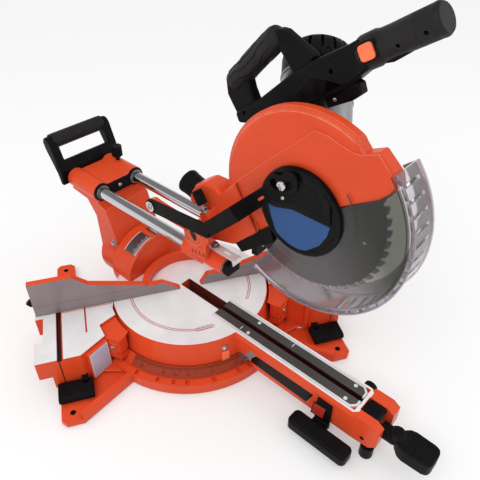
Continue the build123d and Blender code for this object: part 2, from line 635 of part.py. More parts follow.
def detent_lever():
    """Press block between the prongs with its pivot pin."""
    t = ARM_END + 9
    z = TABLE_Z - 9
    outline = [(t - 6, z - 6), (t - 6, z + 7), (PRONG_END - 14, z + 7), (PRONG_END - 11, z + 2),
               (PRONG_END - 14, z - 6)]
    body = side(outline, PRONG_L + GAP, PRONG_R - GAP)
    return body + rod_p(PRONG_L - 3, PRONG_R + 3, t, z, PIN_R)


def detent_override_knob():
    """Round knob on the right wall of the arm."""
    t = ARM_END - 15
    z = TABLE_Z - 22
    return rod_p(ARM_HALF - 8, ARM_HALF + 3, t, z, 4) + rod_p(ARM_HALF + GAP, ARM_HALF + 15, t, z, 11)


def arm_foot():
    """Adjustable foot under the left prong."""
    shank = rod_z(FOOT_H, ARM_BOTTOM + 16, FOOT_P, -FOOT_T, 4)
    return shank + rod_z(FOOT_H, ARM_BOTTOM - 3, FOOT_P, -FOOT_T, 11)


# Bevel arm with the rail block

def bevel_arm():
    """Bevel arm: round boss on the bevel axis, column and twin rail block."""
    body = rod_t(HOUSING_REAR - 54, HOUSING_REAR - GAP, 0, TABLE_Z, HOUSING_R - 12)
    top = RAIL_Z - 14
    column = [(HOUSING_REAR - GAP, TABLE_Z - 25), (HOUSING_REAR - GAP, TABLE_Z + 60), (-172, top - 16),
              (BLOCK_FRONT, top - 10), (BLOCK_FRONT, top + 5), (BLOCK_REAR, top + 5), (BLOCK_REAR, top - 8),
              (HOUSING_REAR - 78, top - 12), (HOUSING_REAR - 57, top - 42), (HOUSING_REAR - 56, TABLE_Z + 40),
              (HOUSING_REAR - 56, TABLE_Z - 25)]
    body += side(column, -COLUMN_HALF, COLUMN_HALF)
    for p in (-RAIL_P, RAIL_P):
        body += rod_t(BLOCK_REAR, BLOCK_FRONT, p, RAIL_Z, LOBE_R)
    body += bar(BLOCK_REAR, BLOCK_FRONT, -RAIL_P, RAIL_P, top, RAIL_Z + 12)
    for p in (-RAIL_P, RAIL_P):
        body -= rod_t(BLOCK_REAR - 1, BLOCK_FRONT + 1, p, RAIL_Z, RAIL_R + BUSH_T + RUN)
    body -= rod_z(RAIL_Z, RAIL_Z + LOBE_R + 1, RAIL_P, 240, STOP_R + RUN)
    return body - rod_t(HOUSING_REAR - 70, HOUSING_REAR + 1, 0, TABLE_Z, BEVEL_BOLT_R + RUN)


def rail_bushings():
    """Four plain bushings, two on each rail."""
    sleeves = []
    for p in (-RAIL_P, RAIL_P):
        for t0 in (BLOCK_FRONT - 24, BLOCK_REAR):
            sleeves.append(tube_t(t0, t0 + 24, p, RAIL_Z, RAIL_R + BUSH_T + RUN, RAIL_R + RUN))
    return sleeves


def rail_seal():
    """Two-lobed seal plate on the front of the rail block."""
    t0 = BLOCK_FRONT
    body = bar(t0, t0 + SEAL_T, -RAIL_P, RAIL_P, RAIL_Z - 13, RAIL_Z + 10)
    for p in (-RAIL_P, RAIL_P):
        body += rod_t(t0, t0 + SEAL_T, p, RAIL_Z, LOBE_R - 1.5)
    for p in (-RAIL_P, RAIL_P):
        body -= rod_t(t0 - 1, t0 + SEAL_T + 1, p, RAIL_Z, RAIL_R + GAP)
    return body


def rear_handle():
    """Rear carry handle: base plate round the rails, two legs and the bar."""
    t1 = BLOCK_REAR
    t0 = t1 - 8
    half = RAIL_P + LOBE_R + 11
    body = bar(t0, t1, -half, half, RAIL_Z - 8, RAIL_Z + 22)
    for p in (-RAIL_P, RAIL_P):
        body -= rod_t(t0 - 1, t1 + 1, p, RAIL_Z, RAIL_R + 3)
    bar_t = t1 - 34
    bar_z = RAIL_Z + 72
    leg = [(t1, RAIL_Z - 8), (t1, RAIL_Z + 20), (bar_t + 14, bar_z + 4), (bar_t, bar_z + 12),
           (bar_t - 12, bar_z), (bar_t - 8, bar_z - 14), (t0 - 4, RAIL_Z + 6), (t0, RAIL_Z - 8)]
    for p in (-half, half - 15):
        body += side(leg, p, p + 15)
    return body + rod_p(-half, half, bar_t, bar_z, 12)


def rail_lock_knob():
    """Screw knob on the right rail lobe."""
    z = RAIL_Z + LOBE_R
    stem = rod_z(RAIL_Z + RAIL_R + BUSH_T + 1, z + 12, RAIL_P, 240, STOP_R)
    return stem + rod_z(z + 9, z + 31, RAIL_P, 240, 11)


def bevel_lock_lever():
    """Clamp lever behind the bevel arm, turning on the end of the pivot bolt."""
    t1 = HOUSING_REAR - 56 - GAP
    body = rod_t(t1 - 18, t1, 0, TABLE_Z, 17)
    outline = [(12, TABLE_Z - 8), (62, TABLE_Z - 34), (72, TABLE_Z - 24), (64, TABLE_Z - 14), (6, TABLE_Z + 12)]
    body += front(outline, -t1 + 5, -t1 + 17)
    return body - rod_t(t1 - 19, t1 + 1, 0, TABLE_Z, BEVEL_BOLT_R + RUN)


# Sliding carriage

def rails():
    """Two chromed rails, fixed in the carriage."""
    return [rod_t(RAIL_BACK, RAIL_FRONT, p, RAIL_Z, RAIL_R) for p in (-RAIL_P, RAIL_P)]


def carriage():
    """Carriage: rail clamps, pivot ears, cross piece and the bracket of the guard link."""
    ear_in = KNUCKLE_HALF + GAP
    ear_out = ear_in + EAR_T
    body = bar(CLAMP_BACK, CLAMP_BACK + 18, -RAIL_P, RAIL_P, RAIL_Z - 15, RAIL_Z - 2)
    for s in (-1, 1):
        body += rod_t(CLAMP_BACK, CLAMP_BACK + 46, s * RAIL_P, RAIL_Z, CLAMP_R)
        strip_in, strip_out = sorted((s * (RAIL_P - RAIL_R - 8), s * (RAIL_P - RAIL_R + 1)))
        body += bar(CLAMP_BACK + 30, RAIL_FRONT, strip_in, strip_out, RAIL_Z + 1, RAIL_Z + 8)
        p0, p1 = sorted((s * ear_in, s * ear_out))
        ear = [(PIVOT_T - KNUCKLE_R + 1, RAIL_Z - 12), (PIVOT_T + 40, RAIL_Z - 12), (PIVOT_T + 18, PIVOT_Z + 5),
               (PIVOT_T - KNUCKLE_R + 1, PIVOT_Z + 5)]
        body += side(ear, p0, p1) + rod_p(p0, p1, PIVOT_T, PIVOT_Z, KNUCKLE_R)
    arm = [(CLAMP_BACK + 4, RAIL_Z), (CLAMP_BACK + 52, RAIL_Z), (CLAMP_BACK + 40, RAIL_Z + 24),
           (LINK_T0 + 20, LINK_Z0 + 8), (LINK_T0 + 6, LINK_Z0 + 12), (LINK_T0 - 8, LINK_Z0 + 8),
           (LINK_T0 - 10, LINK_Z0 - 6), (LINK_T0 + 8, LINK_Z0 - 14), (CLAMP_BACK, RAIL_Z + 21)]
    body += side(arm, LINK_OUT + LINK_T + GAP, -RAIL_P - 10)
    for s in (-1, 1):
        body -= rod_t(CLAMP_BACK - 15, RAIL_FRONT, s * RAIL_P, RAIL_Z, RAIL_R)
        body -= rod_p(s * ear_out, s * (ear_out + 4), PIVOT_T, PIVOT_Z, PIVOT_PIN_R + 4)
    body -= rod_p(-ear_out - 1, ear_out + 1, PIVOT_T, PIVOT_Z, PIVOT_PIN_R)
    return body - rod_p(LINK_OUT, -RAIL_P - 9, LINK_T0, LINK_Z0, LINK_STUD_R + 1)


def carriage_caps():
    """Two end blocks in front of the rails."""
    caps = []
    for s in (-1, 1):
        p0, p1 = sorted((s * (RAIL_P - RAIL_R - 8), s * (RAIL_P + RAIL_R - 3)))
        caps.append(bar(RAIL_FRONT, CLAMP_FRONT, p0, p1, RAIL_Z - 10, RAIL_Z + 9))
    return caps


def carriage_pins():
    """Headed chop pivot pin and the stud of the guard link."""
    end = KNUCKLE_HALF + GAP + EAR_T
    pin = rod_p(-end, end, PIVOT_T, PIVOT_Z, PIVOT_PIN_R)
    for p in (-end - 3, end):
        pin += rod_p(p, p + 3, PIVOT_T, PIVOT_Z, PIVOT_PIN_R + 4)
    stud = rod_p(LINK_OUT - GAP, -RAIL_P - 10, LINK_T0, LINK_Z0, LINK_STUD_R + 1)
    stud += rod_p(LINK_OUT - 3, LINK_OUT - GAP, LINK_T0, LINK_Z0, LINK_STUD_R + 4)
    return [pin, stud]


def chop_spring():
    """Return spring round the chop pin, as its plain sleeve."""
    return tube_p(-7, 7, PIVOT_T, PIVOT_Z, PIVOT_PIN_R + 6, PIVOT_PIN_R + 0.2)


def head_point(u, w):
    """Forward and upward place of a point of the head at rest."""
    tilt = math.radians(HEAD_TILT)
    along = u + ARBOR_REACH
    t = PIVOT_T + along * math.cos(tilt) - w * math.sin(tilt)
    return (t, PIVOT_Z + along * math.sin(tilt) + w * math.cos(tilt))


def strip(start, end, width):
    """Outline of a straight strip between two points."""
    dx = end[0] - start[0]
    dy = end[1] - start[1]
    k = width / 2 / math.hypot(dx, dy)
    return [(start[0] - dy * k, start[1] + dx * k), (end[0] - dy * k, end[1] + dx * k),
            (end[0] + dy * k, end[1] - dx * k), (start[0] + dy * k, start[1] - dx * k)]


def turned_about(point, centre, degrees):
    """Point in the side plane turned about a centre, lifting its front for a positive angle."""
    a = math.radians(degrees)
    dx = point[0] - centre[0]
    dz = point[1] - centre[1]
    t = centre[0] + dx * math.cos(a) - dz * math.sin(a)
    return (t, centre[1] + dx * math.sin(a) + dz * math.cos(a))


def stud_path(steps):
    """Places of the guard stud in the link at rest, through the whole chop."""
    path = []
    for k in range(steps + 1):
        chop = CHOP_RANGE * k / steps
        swing = math.radians(GUARD_RATIO * chop)
        stud = head_point(-LINK_PIN_W * math.sin(swing), LINK_PIN_W * math.cos(swing))
        lowered = turned_about(stud, (PIVOT_T, PIVOT_Z), -chop)
        path.append(turned_about(lowered, (LINK_T0, LINK_Z0), LINK_RATIO * chop))
    return path


def along_path(path, width, p0, p1):
    """Band of a width along a path in the side plane."""
    band = rod_p(p0, p1, *path[0], width / 2)
    for start, end in zip(path, path[1:]):
        band += side(strip(start, end, width), p0, p1) + rod_p(p0, p1, *end, width / 2)
    return band


def guard_link():
    """Cranked bar from the carriage to the guard hub, stepped inwards at the middle of its front run."""
    a = (LINK_T0, LINK_Z0)
    elbow = (LINK_T0 + 124, LINK_Z0 + 11)
    b = head_point(0, LINK_PIN_W)
    run = (b[0] - elbow[0], b[1] - elbow[1])
    length = math.hypot(*run)
    ahead = (run[0] / length, run[1] / length)

    def on_run(s):
        return (elbow[0] + ahead[0] * s, elbow[1] + ahead[1] * s)

    step = on_run(0.5 * length)
    step_end = on_run(0.5 * length + LINK_T)
    tip = on_run(length + 16)
    p0 = LINK_OUT
    p1 = LINK_IN
    body = side(strip(a, elbow, LINK_W), p0, p0 + LINK_T)
    body += side(strip(elbow, step_end, LINK_W), p0, p0 + LINK_T)
    body += rod_p(p0, p0 + LINK_T, *a, LINK_W / 2) + rod_p(p0, p0 + LINK_T, *elbow, LINK_W / 2)
    body += side(strip(step, step_end, LINK_W), p0, p1 + LINK_T)
    body += side(strip(step, tip, LINK_W), p1, p1 + LINK_T) + rod_p(p1, p1 + LINK_T, *tip, LINK_W / 2)
    off = (LINK_W - LINK_REBATE_W) / 2 + 1
    ends = (elbow, on_run(0.5 * length + LINK_T + 1))
    edge = [(t + ahead[1] * off, z - ahead[0] * off) for t, z in ends]
    body -= side(strip(*edge, LINK_REBATE_W + 2), p0 - 1, p0 + LINK_REBATE_T)
    slot = 2 * (LINK_STUD_R + GAP)
    path = stud_path(16)
    body += along_path(path, slot + 2 * LINK_WALL, p1, p1 + LINK_T)
    body -= along_path(path, slot, p1 - 1, p1 + LINK_T + 1)
    return body - rod_p(p0 - 1, p0 + LINK_T + 1, *a, LINK_STUD_R + 1 + RUN)


# Saw head

def disc(p0, p1, radius):
    """Disc on the arbor axis."""
    return rod_p(p0, p1, 0, 0, radius)


def upper_guard():
    """Upper guard casting: hood, front block, rear arm with knuckle, dust elbow and depth stop lug."""
    hood = disc(HOOD_LEFT, HOOD_RIGHT, HOOD_R) & bar(-HOOD_R, HOOD_CUT, -50, 50, -4, HOOD_R)
    nose = [(60, -4), (60, 56), (HOOD_CUT - 11, 52), (HOOD_CUT - 1, 53), (HOOD_R + 3, 50), (HOOD_R + 11, 22),
            (HOOD_R + 7, 4), (HOOD_R - 7, -4)]
    hood += side(nose, HOOD_LEFT, HOOD_RIGHT)
    thin = [(-40, 84), (-101, 62), (-101, -20), (-60, -12), (-40, -6)]
    hood += side(thin, HOOD_LEFT, HOOD_RIGHT)
    back = -ARBOR_REACH
    arm = [(-100, 61), (-169, 44), (back + 10, 18), (back + 10, -18), (-163, -33), (-100, -20)]
    hood += side(arm, -ARM_P, ARM_P)
    hood += rod_p(-KNUCKLE_HALF, KNUCKLE_HALF, back, 0, KNUCKLE_R)
    elbow = [(-137, 48), (-142, 62), (-165, 76), (PORT_U + 16, PORT_W + 14), (PORT_U, PORT_W),
             (PORT_U + 28, PORT_W - 32)]
    hood += side(elbow, -ARM_P, ARM_P) + port_rod(-48, 0, PORT_R + 1)
    hood += bar(STOP_U - 12, STOP_U + 12, STOP_P - 8, -ARM_P + 2, 18, 34)
    hood -= disc(HOOD_LEFT + HOOD_WALL, HOOD_RIGHT - HOOD_WALL, HOOD_R - HOOD_RIM)
    hood += disc(HOOD_LEFT - 3, HOOD_LEFT + 1, HUB_RING - RUN)
    hood -= disc(HOOD_LEFT - 4, HOOD_LEFT + 4, HUB_RING - 9)
    hood -= disc(HOOD_RIGHT - 4, HOOD_RIGHT + 1, 2 * ARBOR_R)
    hood -= rod_p(-KNUCKLE_HALF - 1, KNUCKLE_HALF + 1, back, 0, PIVOT_PIN_R + RUN)
    hood -= rod_p(-8, 8, back, 0, PIVOT_PIN_R + 7)
    hood -= port_rod(-PORT_DEPTH, 1, PORT_R - PORT_WALL)
    return hood - rod((STOP_P, -STOP_U, 0), (STOP_P, -STOP_U, 40), STOP_R + RUN)


def port_rod(s0, s1, radius):
    """Round bar on the axis of the dust port, measured outwards from its root."""
    back = math.cos(math.radians(PORT_PITCH))
    up = math.sin(math.radians(PORT_PITCH))
    ends = [(0, -PORT_U + s * back, PORT_W + s * up) for s in (s0, s1)]
    return rod(ends[0], ends[1], radius)


def dust_port():
    """Dust port on the elbow, with its bore for a hose."""
    return port_rod(0, PORT_L, PORT_R) - port_rod(-1, PORT_L + 1, PORT_R - PORT_WALL)


def dust_flap():
    """Chute behind the blade, under the rear arm, slotted for the blade."""
    outline = [(-163, -33), (-100, -20), (-73, -14.7), (-78, -40), (-158, -50)]
    flap = side(outline, -11, 11)
    return flap - disc(-5, 5, BLADE_R + 5)


def depth_stop_screw():
    """Knurled depth stop screw with its lock nut."""
    def post(w0, w1, r):
        return rod((STOP_P, -STOP_U, w0), (STOP_P, -STOP_U, w1), r)
    return post(12, 50, STOP_R) + post(34 + GAP, 40, 8) + post(46, 70, 8)


def gear_case():
    """Gear case on the right of the guard, with the neck that carries the motor."""
    body = disc(HOOD_RIGHT, GEAR_RIGHT - 8, GEAR_R) + disc(HOOD_RIGHT, GEAR_RIGHT, 24)
    body += motor_rod(34, MOTOR_FROM, NECK_R) & bar(-200, 200, HOOD_RIGHT, 300, -200, 300)
    body -= disc(HOOD_RIGHT + 8, GEAR_RIGHT - 7.5, 34)
    body -= disc(HOOD_RIGHT - 1, HOOD_RIGHT + 9, 16) + disc(GEAR_RIGHT - 8, GEAR_RIGHT - 2, 14)
    body -= motor_rod(20, MOTOR_FROM + 1, 12)
    lock = spindle_axis()
    return body - rod(lock(20), lock(GEAR_R + 1), 4 + RUN)


def motor_point(s):
    """Point on the motor axis in the head's own frame."""
    a = math.radians(MOTOR_SLOPE)
    return (MOTOR_P + s * math.cos(a), 0, s * math.sin(a))


def motor_rod(s0, s1, radius):
    """Round bar on the motor axis."""
    return rod(motor_point(s0), motor_point(s1), radius)


def motor_tube(s0, s1, outer, inner):
    """Sleeve on the motor axis."""
    return motor_rod(s0, s1, outer) - motor_rod(s0 - 1, s1 + 1, inner)


def motor_housing():
    """Motor can."""
    can = motor_rod(MOTOR_FROM, MOTOR_TO, MOTOR_R) - motor_rod(MOTOR_FROM + 4, MOTOR_TO + 1, MOTOR_R - 5)
    return can - motor_rod(MOTOR_FROM - 1, MOTOR_FROM + 5, 14)


def motor_cap():
    """Vented end cap with the rear bearing seat."""
    cap = motor_rod(MOTOR_TO, CAP_TO - 12, MOTOR_R) + motor_rod(CAP_TO - 13, CAP_TO, MOTOR_R - 9)
    cap -= motor_rod(MOTOR_TO - 1, CAP_TO - 16, MOTOR_R - 5)
    cap += motor_rod(CAP_TO - 26, CAP_TO - 4, 16)
    cap -= motor_rod(CAP_TO - 27, CAP_TO - 5, 11)
    start = Vector(*motor_point(MOTOR_TO))
    plane = Plane(origin=start, x_dir=(0, -1, 0), z_dir=Vector(*motor_point(1)) - Vector(*motor_point(0)))
    for k in range(12):
        vent = Pos(MOTOR_R - 3, 0, 16) * Box(12, 6, 20)
        cap -= plane * Rot(0, 0, 30 * k) * vent
    return cap


def stator():
    """Stator ring inside the motor can."""
    return motor_tube(MOTOR_FROM + 14, MOTOR_TO - 6, MOTOR_R - 5, 31)


def armature():
    """Armature: shaft with pinion, fan, wound core and commutator."""
    body = motor_rod(30, CAP_TO - 7, 5) + motor_rod(23, 31, 4.2)
    body += motor_rod(MOTOR_FROM + 5, MOTOR_FROM + 11, 38) + motor_rod(MOTOR_FROM + 16, MOTOR_TO - 8, 29)
    return body + motor_rod(MOTOR_TO, MOTOR_TO + 14, 13)


def head_bearings():
    """Two arbor bearings and two armature bearings."""
    return [tube_p(HOOD_RIGHT + 1, HOOD_RIGHT + 8, 0, 0, 16, ARBOR_R + RUN),
            tube_p(GEAR_RIGHT - 7.5, GEAR_RIGHT - 2, 0, 0, 14, ARBOR_R + RUN),
            motor_tube(MOTOR_FROM - 16, MOTOR_FROM - 6, 12, 5 + RUN),
            motor_tube(CAP_TO - 14, CAP_TO - 6, 11, 5 + RUN)]


def spindle_axis():
    """Line of the spindle lock, radial to the arbor, as a function of the radius."""
    a = math.radians(150)
    return lambda r: (HOOD_RIGHT + 14, -r * math.cos(a), r * math.sin(a))


def spindle_lock():
    """Spindle lock button."""
    at = spindle_axis()
    return rod(at(40), at(GEAR_R + 9), 4) + rod(at(GEAR_R + 6), at(GEAR_R + 13), 8)


def handle_body():
    """Main handle with its carry loop, before it is parted into two halves."""
    p0 = HANDLE_LEFT
    p1 = HANDLE_RIGHT
    beam = [(-100, 136), (-98, 152), (-56, 152), (22, 167), (60, 171), (121, 168), (150, 170), (150, 136),
            (126, 133), (109, 128), (60, 122), (-60, 122)]
    body = side(beam, p0, p1)
    loop = [(-101, 138), (-104, 180), (-92, 206), (19, 235), (36, 231), (46, 219), (59, 165)]
    body += side(loop, p0 + 6, p1 - 8)
    chin = [(56, 110), (94, 108), (110, 111), (112, 124), (106, 130), (56, 130)]
    mid = (p0 + p1) / 2
    body += side(chin, mid - 8, p1 - 8)
    body += rod_t(146, GRIP_END, mid, GRIP_W, GRIP_R) + rod_t(126, 152, mid, GRIP_W - 1, GRIP_R + 2)
    body += rod_t(GRIP_END - 8, GRIP_END, mid, GRIP_W, GRIP_R + 1)
    hole = [(-57, 154), (-55, 184), (16, 198), (23, 171)]
    body -= side(hole, p0 - 1, p1 + 1)
    body -= motor_rod(0, CAP_TO + 30, MOTOR_R + RUN)
    body -= bar(TRIGGER_U - 8, TRIGGER_U + 32, mid - 6.4, mid + 6.4, 120, TRIGGER_W + 7)
    body -= rod_p(mid - 10, mid + 10, TRIGGER_U, TRIGGER_W, PIN_R + RUN)
    body -= lock_off(RUN, 16)
    for u, w in HANDLE_SCREWS:
        body -= rod_p(p0 - 6, p0 + 9, u, w, 4)
    return body


def handle_half(left):
    """One half of the main handle."""
    mid = (HANDLE_LEFT + HANDLE_RIGHT) / 2
    if left:
        return handle_body() & bar(-300, 300, 0, mid, 0, 400)
    return handle_body() & bar(-300, 300, mid, 200, 0, 400)


def head_screws():
    """Screws that hold the two handle halves together."""
    return [rod_p(HANDLE_LEFT + 5.5, HANDLE_LEFT + 9, u, w, 4) for u, w in HANDLE_SCREWS]


def trigger():
    """Trigger with its pivot pin, set into the underside of the grip."""
    mid = (HANDLE_LEFT + HANDLE_RIGHT) / 2
    outline = [(TRIGGER_U - 5, TRIGGER_W + 4), (TRIGGER_U + 6, TRIGGER_W + 4), (TRIGGER_U + 27, TRIGGER_W - 2),
               (TRIGGER_U + 28, TRIGGER_W - 9), (TRIGGER_U + 10, TRIGGER_W - 11), (TRIGGER_U - 5, TRIGGER_W - 8)]
    return side(outline, mid - 6, mid + 6) + rod_p(mid - 9.5, mid + 9.5, TRIGGER_U, TRIGGER_W, PIN_R)


def lock_off(clearance, depth):
    """Rounded block of the lock-off button, grown by a clearance."""
    half = LOCK_OFF_W / 2 + clearance
    mid = (HANDLE_LEFT + HANDLE_RIGHT) / 2
    block = bar(LOCK_OFF_U - half, LOCK_OFF_U + half, mid - GRIP_R - 4.5, mid - GRIP_R - 4.5 + depth,
                LOCK_OFF_Z - half, LOCK_OFF_Z + half)
    return fillet(block.edges().filter_by(Axis.X), 5)


def lock_off_button():
    """Lock-off button in the left half of the handle."""
    return lock_off(0, 10)


def blade():
    """Saw blade with its teeth and bore."""
    points = []
    pitch = 2 * math.pi / TEETH
    for k in range(TEETH):
        for share, r in ((0.0, BLADE_R), (0.55, BLADE_R - 2.2), (0.8, BLADE_R - 8), (0.97, BLADE_R - 7)):
            angle = -(k + share) * pitch
            points.append((r * math.cos(angle), r * math.sin(angle)))
    return side(points, -BLADE_T / 2, BLADE_T / 2) - disc(-BLADE_T, BLADE_T, ARBOR_R + RUN)


def arbor_shaft():
    """Arbor shaft with its driven gear, drawn as a plain cone at pitch size."""
    body = disc(-BLADE_T / 2 - 3, GEAR_RIGHT - 2.5, ARBOR_R)
    cone = [(27, 0), (27, 11), (35, 18), (35, 0)]
    plane = Plane(origin=(0, 0, 0), x_dir=(1, 0, 0), z_dir=(0, -1, 0))
    return body + revolve(plane * face(cone), Axis.X, 360)


def arbor_clamp():
    """Inner and outer blade flanges and the arbor bolt head."""
    half = BLADE_T / 2
    inner = tube_p(half, half + 5, 0, 0, FLANGE_R, ARBOR_R + RUN)
    outer = tube_p(-half - 3, -half, 0, 0, FLANGE_R, ARBOR_R + RUN)
    bolt = disc(-half - 8, -half - 3, 10)
    return [inner, outer, bolt]


def sector(points_r, a0, a1, p0, p1):
    """Part of a ring about the arbor between two angles."""
    r0, r1 = points_r
    ring = disc(p0, p1, r1) - disc(p0 - 1, p1 + 1, r0)
    far = 3 * r1
    steps = [a0 + (a1 - a0) * k / 4 for k in range(5)]
    wedge = [(0, 0)] + [(far * math.cos(math.radians(a)), far * math.sin(math.radians(a))) for a in steps]
    return ring & side(wedge, p0 - 1, p1 + 1)


def lower_guard():
    """Clear lower guard: left plate, rim with vents and right flange."""
    rim = GUARD_R - GUARD_RIM
    body = sector((HUB_RING + 6 + RUN, GUARD_R), GUARD_FROM, GUARD_TO, GUARD_LEFT, GUARD_LEFT + GUARD_T)
    body += sector((rim, GUARD_R), GUARD_FROM, GUARD_TO, GUARD_LEFT, GUARD_RIGHT)
    body += sector((rim - 16, GUARD_R), GUARD_FROM, GUARD_TO, GUARD_RIGHT - GUARD_T, GUARD_RIGHT)
    upper = [(HUB_RING, -5), (rim - 33, -3), (rim - 1, 5), (rim - 1, 40), (HUB_RING, 40)]
    body -= side(upper, GUARD_LEFT - 1, GUARD_LEFT + GUARD_T + RUN)
    for k in range(15):
        angle = GUARD_TO - 6 - 7 * k
        vent = bar(rim - 1, GUARD_R + 1, -6, 24, -2.6, 2.6)
        body -= Rot(-angle, 0, 0) * vent
    return body


def guard_hub():
    """Arbor cover that turns with the lower guard, with the stud of the link."""
    body = disc(GUARD_LEFT - HUB_T, GUARD_LEFT, HUB_R)
    body = chamfer(body.edges().group_by(Axis.X)[0], 2)
    body += tube_p(GUARD_LEFT - 1, HOOD_LEFT - GAP, 0, 0, HUB_RING + 6, HUB_RING)
    stud = rod_p(LINK_IN - 3, GUARD_LEFT - HUB_T + 1, 0, LINK_PIN_W, LINK_STUD_R)
    return body + stud


def pieces():
    """Every node of the saw with the frame it is placed in."""
    ext = extension()
    rods = extension_rods()
    lever = extension_lock()
    fence = upper_fence()
    lock = fence_lock()
    return {
        "base_casting": (BASE, base_casting()),
        "mitre_scale": (BASE, mitre_scale()),
        "rubber_feet": (BASE, rubber_feet()),
        "lower_fence": (BASE, lower_fence()),
        "base_fasteners": (BASE, base_fasteners()),
        "extension_left": (BASE, mirrored(ext)),
        "extension_right": (BASE, ext),
        "extension_rods_left": (BASE, [mirrored(r) for r in rods]),
        "extension_rods_right": (BASE, rods),
        "extension_lock_left": (BASE, mirrored(lever)),
        "extension_lock_right": (BASE, lever),
        "upper_fence_left": (BASE, fence),
        "upper_fence_right": (BASE, mirrored(fence)),
        "fence_lock_left": (BASE, lock),
        "fence_lock_right": (BASE, mirrored(lock)),
        "turntable": (TABLE, turntable()),
        "kerf_plate_left": (TABLE, kerf_plate(False)),
        "kerf_plate_right": (TABLE, kerf_plate(True)),
        "kerf_screws": (TABLE, kerf_screws()),
        "mitre_pointer": (TABLE, mitre_pointer()),
        "bevel_scale": (TABLE, bevel_scale()),
        "stabiliser_bar": (TABLE, stabiliser_bar()),
        "bevel_pivot_bolt": (TABLE, bevel_pivot_bolt()),
        "mitre_lock_handle": (TABLE, mitre_lock_handle()),
        "detent_lever": (TABLE, detent_lever()),
        "detent_override_knob": (TABLE, detent_override_knob()),
        "arm_foot": (TABLE, arm_foot()),
        "bevel_arm": (TABLE, bevel_arm()),
        "rail_bushings": (TABLE, rail_bushings()),
        "rail_seal": (TABLE, rail_seal()),
        "rear_handle": (TABLE, rear_handle()),
        "rail_lock_knob": (TABLE, rail_lock_knob()),
        "bevel_lock_lever": (TABLE, bevel_lock_lever()),
        "rails": (TABLE, rails()),
        "carriage": (TABLE, carriage()),
        "carriage_caps": (TABLE, carriage_caps()),
        "carriage_pins": (TABLE, carriage_pins()),
        "chop_spring": (TABLE, chop_spring()),
        "guard_link": (TABLE, guard_link()),
        "upper_guard": (HEAD, upper_guard()),
        "dust_port": (HEAD, dust_port()),
        "dust_flap": (HEAD, dust_flap()),
        "depth_stop_screw": (HEAD, depth_stop_screw()),
        "gear_case": (HEAD, gear_case()),
        "motor_housing": (HEAD, motor_housing()),
        "motor_cap": (HEAD, motor_cap()),
        "stator": (HEAD, stator()),
        "armature": (HEAD, armature()),
        "head_bearings": (HEAD, head_bearings()),
        "spindle_lock": (HEAD, spindle_lock()),
        "handle_left": (HEAD, handle_half(True)),
        "handle_right": (HEAD, handle_half(False)),
        "head_screws": (HEAD, head_screws()),
        "trigger": (HEAD, trigger()),
        "lock_off_button": (HEAD, lock_off_button()),
        "blade": (HEAD, blade()),
        "arbor_shaft": (HEAD, arbor_shaft()),
        "arbor_clamp": (HEAD, arbor_clamp()),
        "lower_guard": (HEAD, lower_guard()),
        "guard_hub": (HEAD, guard_hub()),
    }


os.makedirs("parts", exist_ok=True)
for name, (place, shape) in pieces().items():
    members = shape if isinstance(shape, list) else [shape]
    solids = [s for member in members for s in (place * member).solids()]
    node = solids[0] if len(solids) == 1 else Compound(children=solids)
    export_step(node, f"parts/{name}.step")
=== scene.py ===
"""Looks of a sliding mitre saw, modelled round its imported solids."""

import logging
import math
from contextlib import contextmanager
from dataclasses import dataclass
from enum import Enum
from typing import ClassVar, Iterable, Iterator, Optional, Sequence

import bpy
from mathutils import Matrix, Vector


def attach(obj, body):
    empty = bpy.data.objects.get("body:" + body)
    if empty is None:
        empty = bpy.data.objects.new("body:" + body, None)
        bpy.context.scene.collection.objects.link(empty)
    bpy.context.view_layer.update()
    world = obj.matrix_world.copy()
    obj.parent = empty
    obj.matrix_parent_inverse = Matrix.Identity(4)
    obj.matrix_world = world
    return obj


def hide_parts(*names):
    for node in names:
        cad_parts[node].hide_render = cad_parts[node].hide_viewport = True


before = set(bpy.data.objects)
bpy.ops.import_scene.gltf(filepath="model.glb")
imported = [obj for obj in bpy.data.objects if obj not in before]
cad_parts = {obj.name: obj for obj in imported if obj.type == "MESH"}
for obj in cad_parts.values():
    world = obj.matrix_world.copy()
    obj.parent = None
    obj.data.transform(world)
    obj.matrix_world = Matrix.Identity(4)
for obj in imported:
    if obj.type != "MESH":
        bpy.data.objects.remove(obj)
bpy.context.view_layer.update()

LOG = logging.getLogger("mitre_saw")
Point2 = tuple[float, float]
Point3 = tuple[float, float, float]
Colour = Point3
Outline = Sequence[Point2]
Piece = bpy.types.Object
Socket = bpy.types.NodeSocket
Feeds = dict[str | int, object]

# Pieces are modelled in millimetres of a local frame: X forward, Y to the right, Z up.
MM = 0.001
AXIS_Y = -16.0
MITRE = math.radians(31.6)
HEAD_TILT = math.radians(33.0)
PIVOT_T = 60.0
PIVOT_Z = 262.0
ARBOR_REACH = 224.0
MOTOR_P = 12.0
MOTOR_SLOPE = math.radians(54.0)


def axes(origin: Point3, forward: Point3, right: Point3, up: Point3) -> Matrix:
    """Matrix of a frame with a given origin and given directions of X, Y and Z."""
    turn = Matrix((forward, right, up)).transposed().to_4x4()
    return Matrix.Translation(origin) @ turn


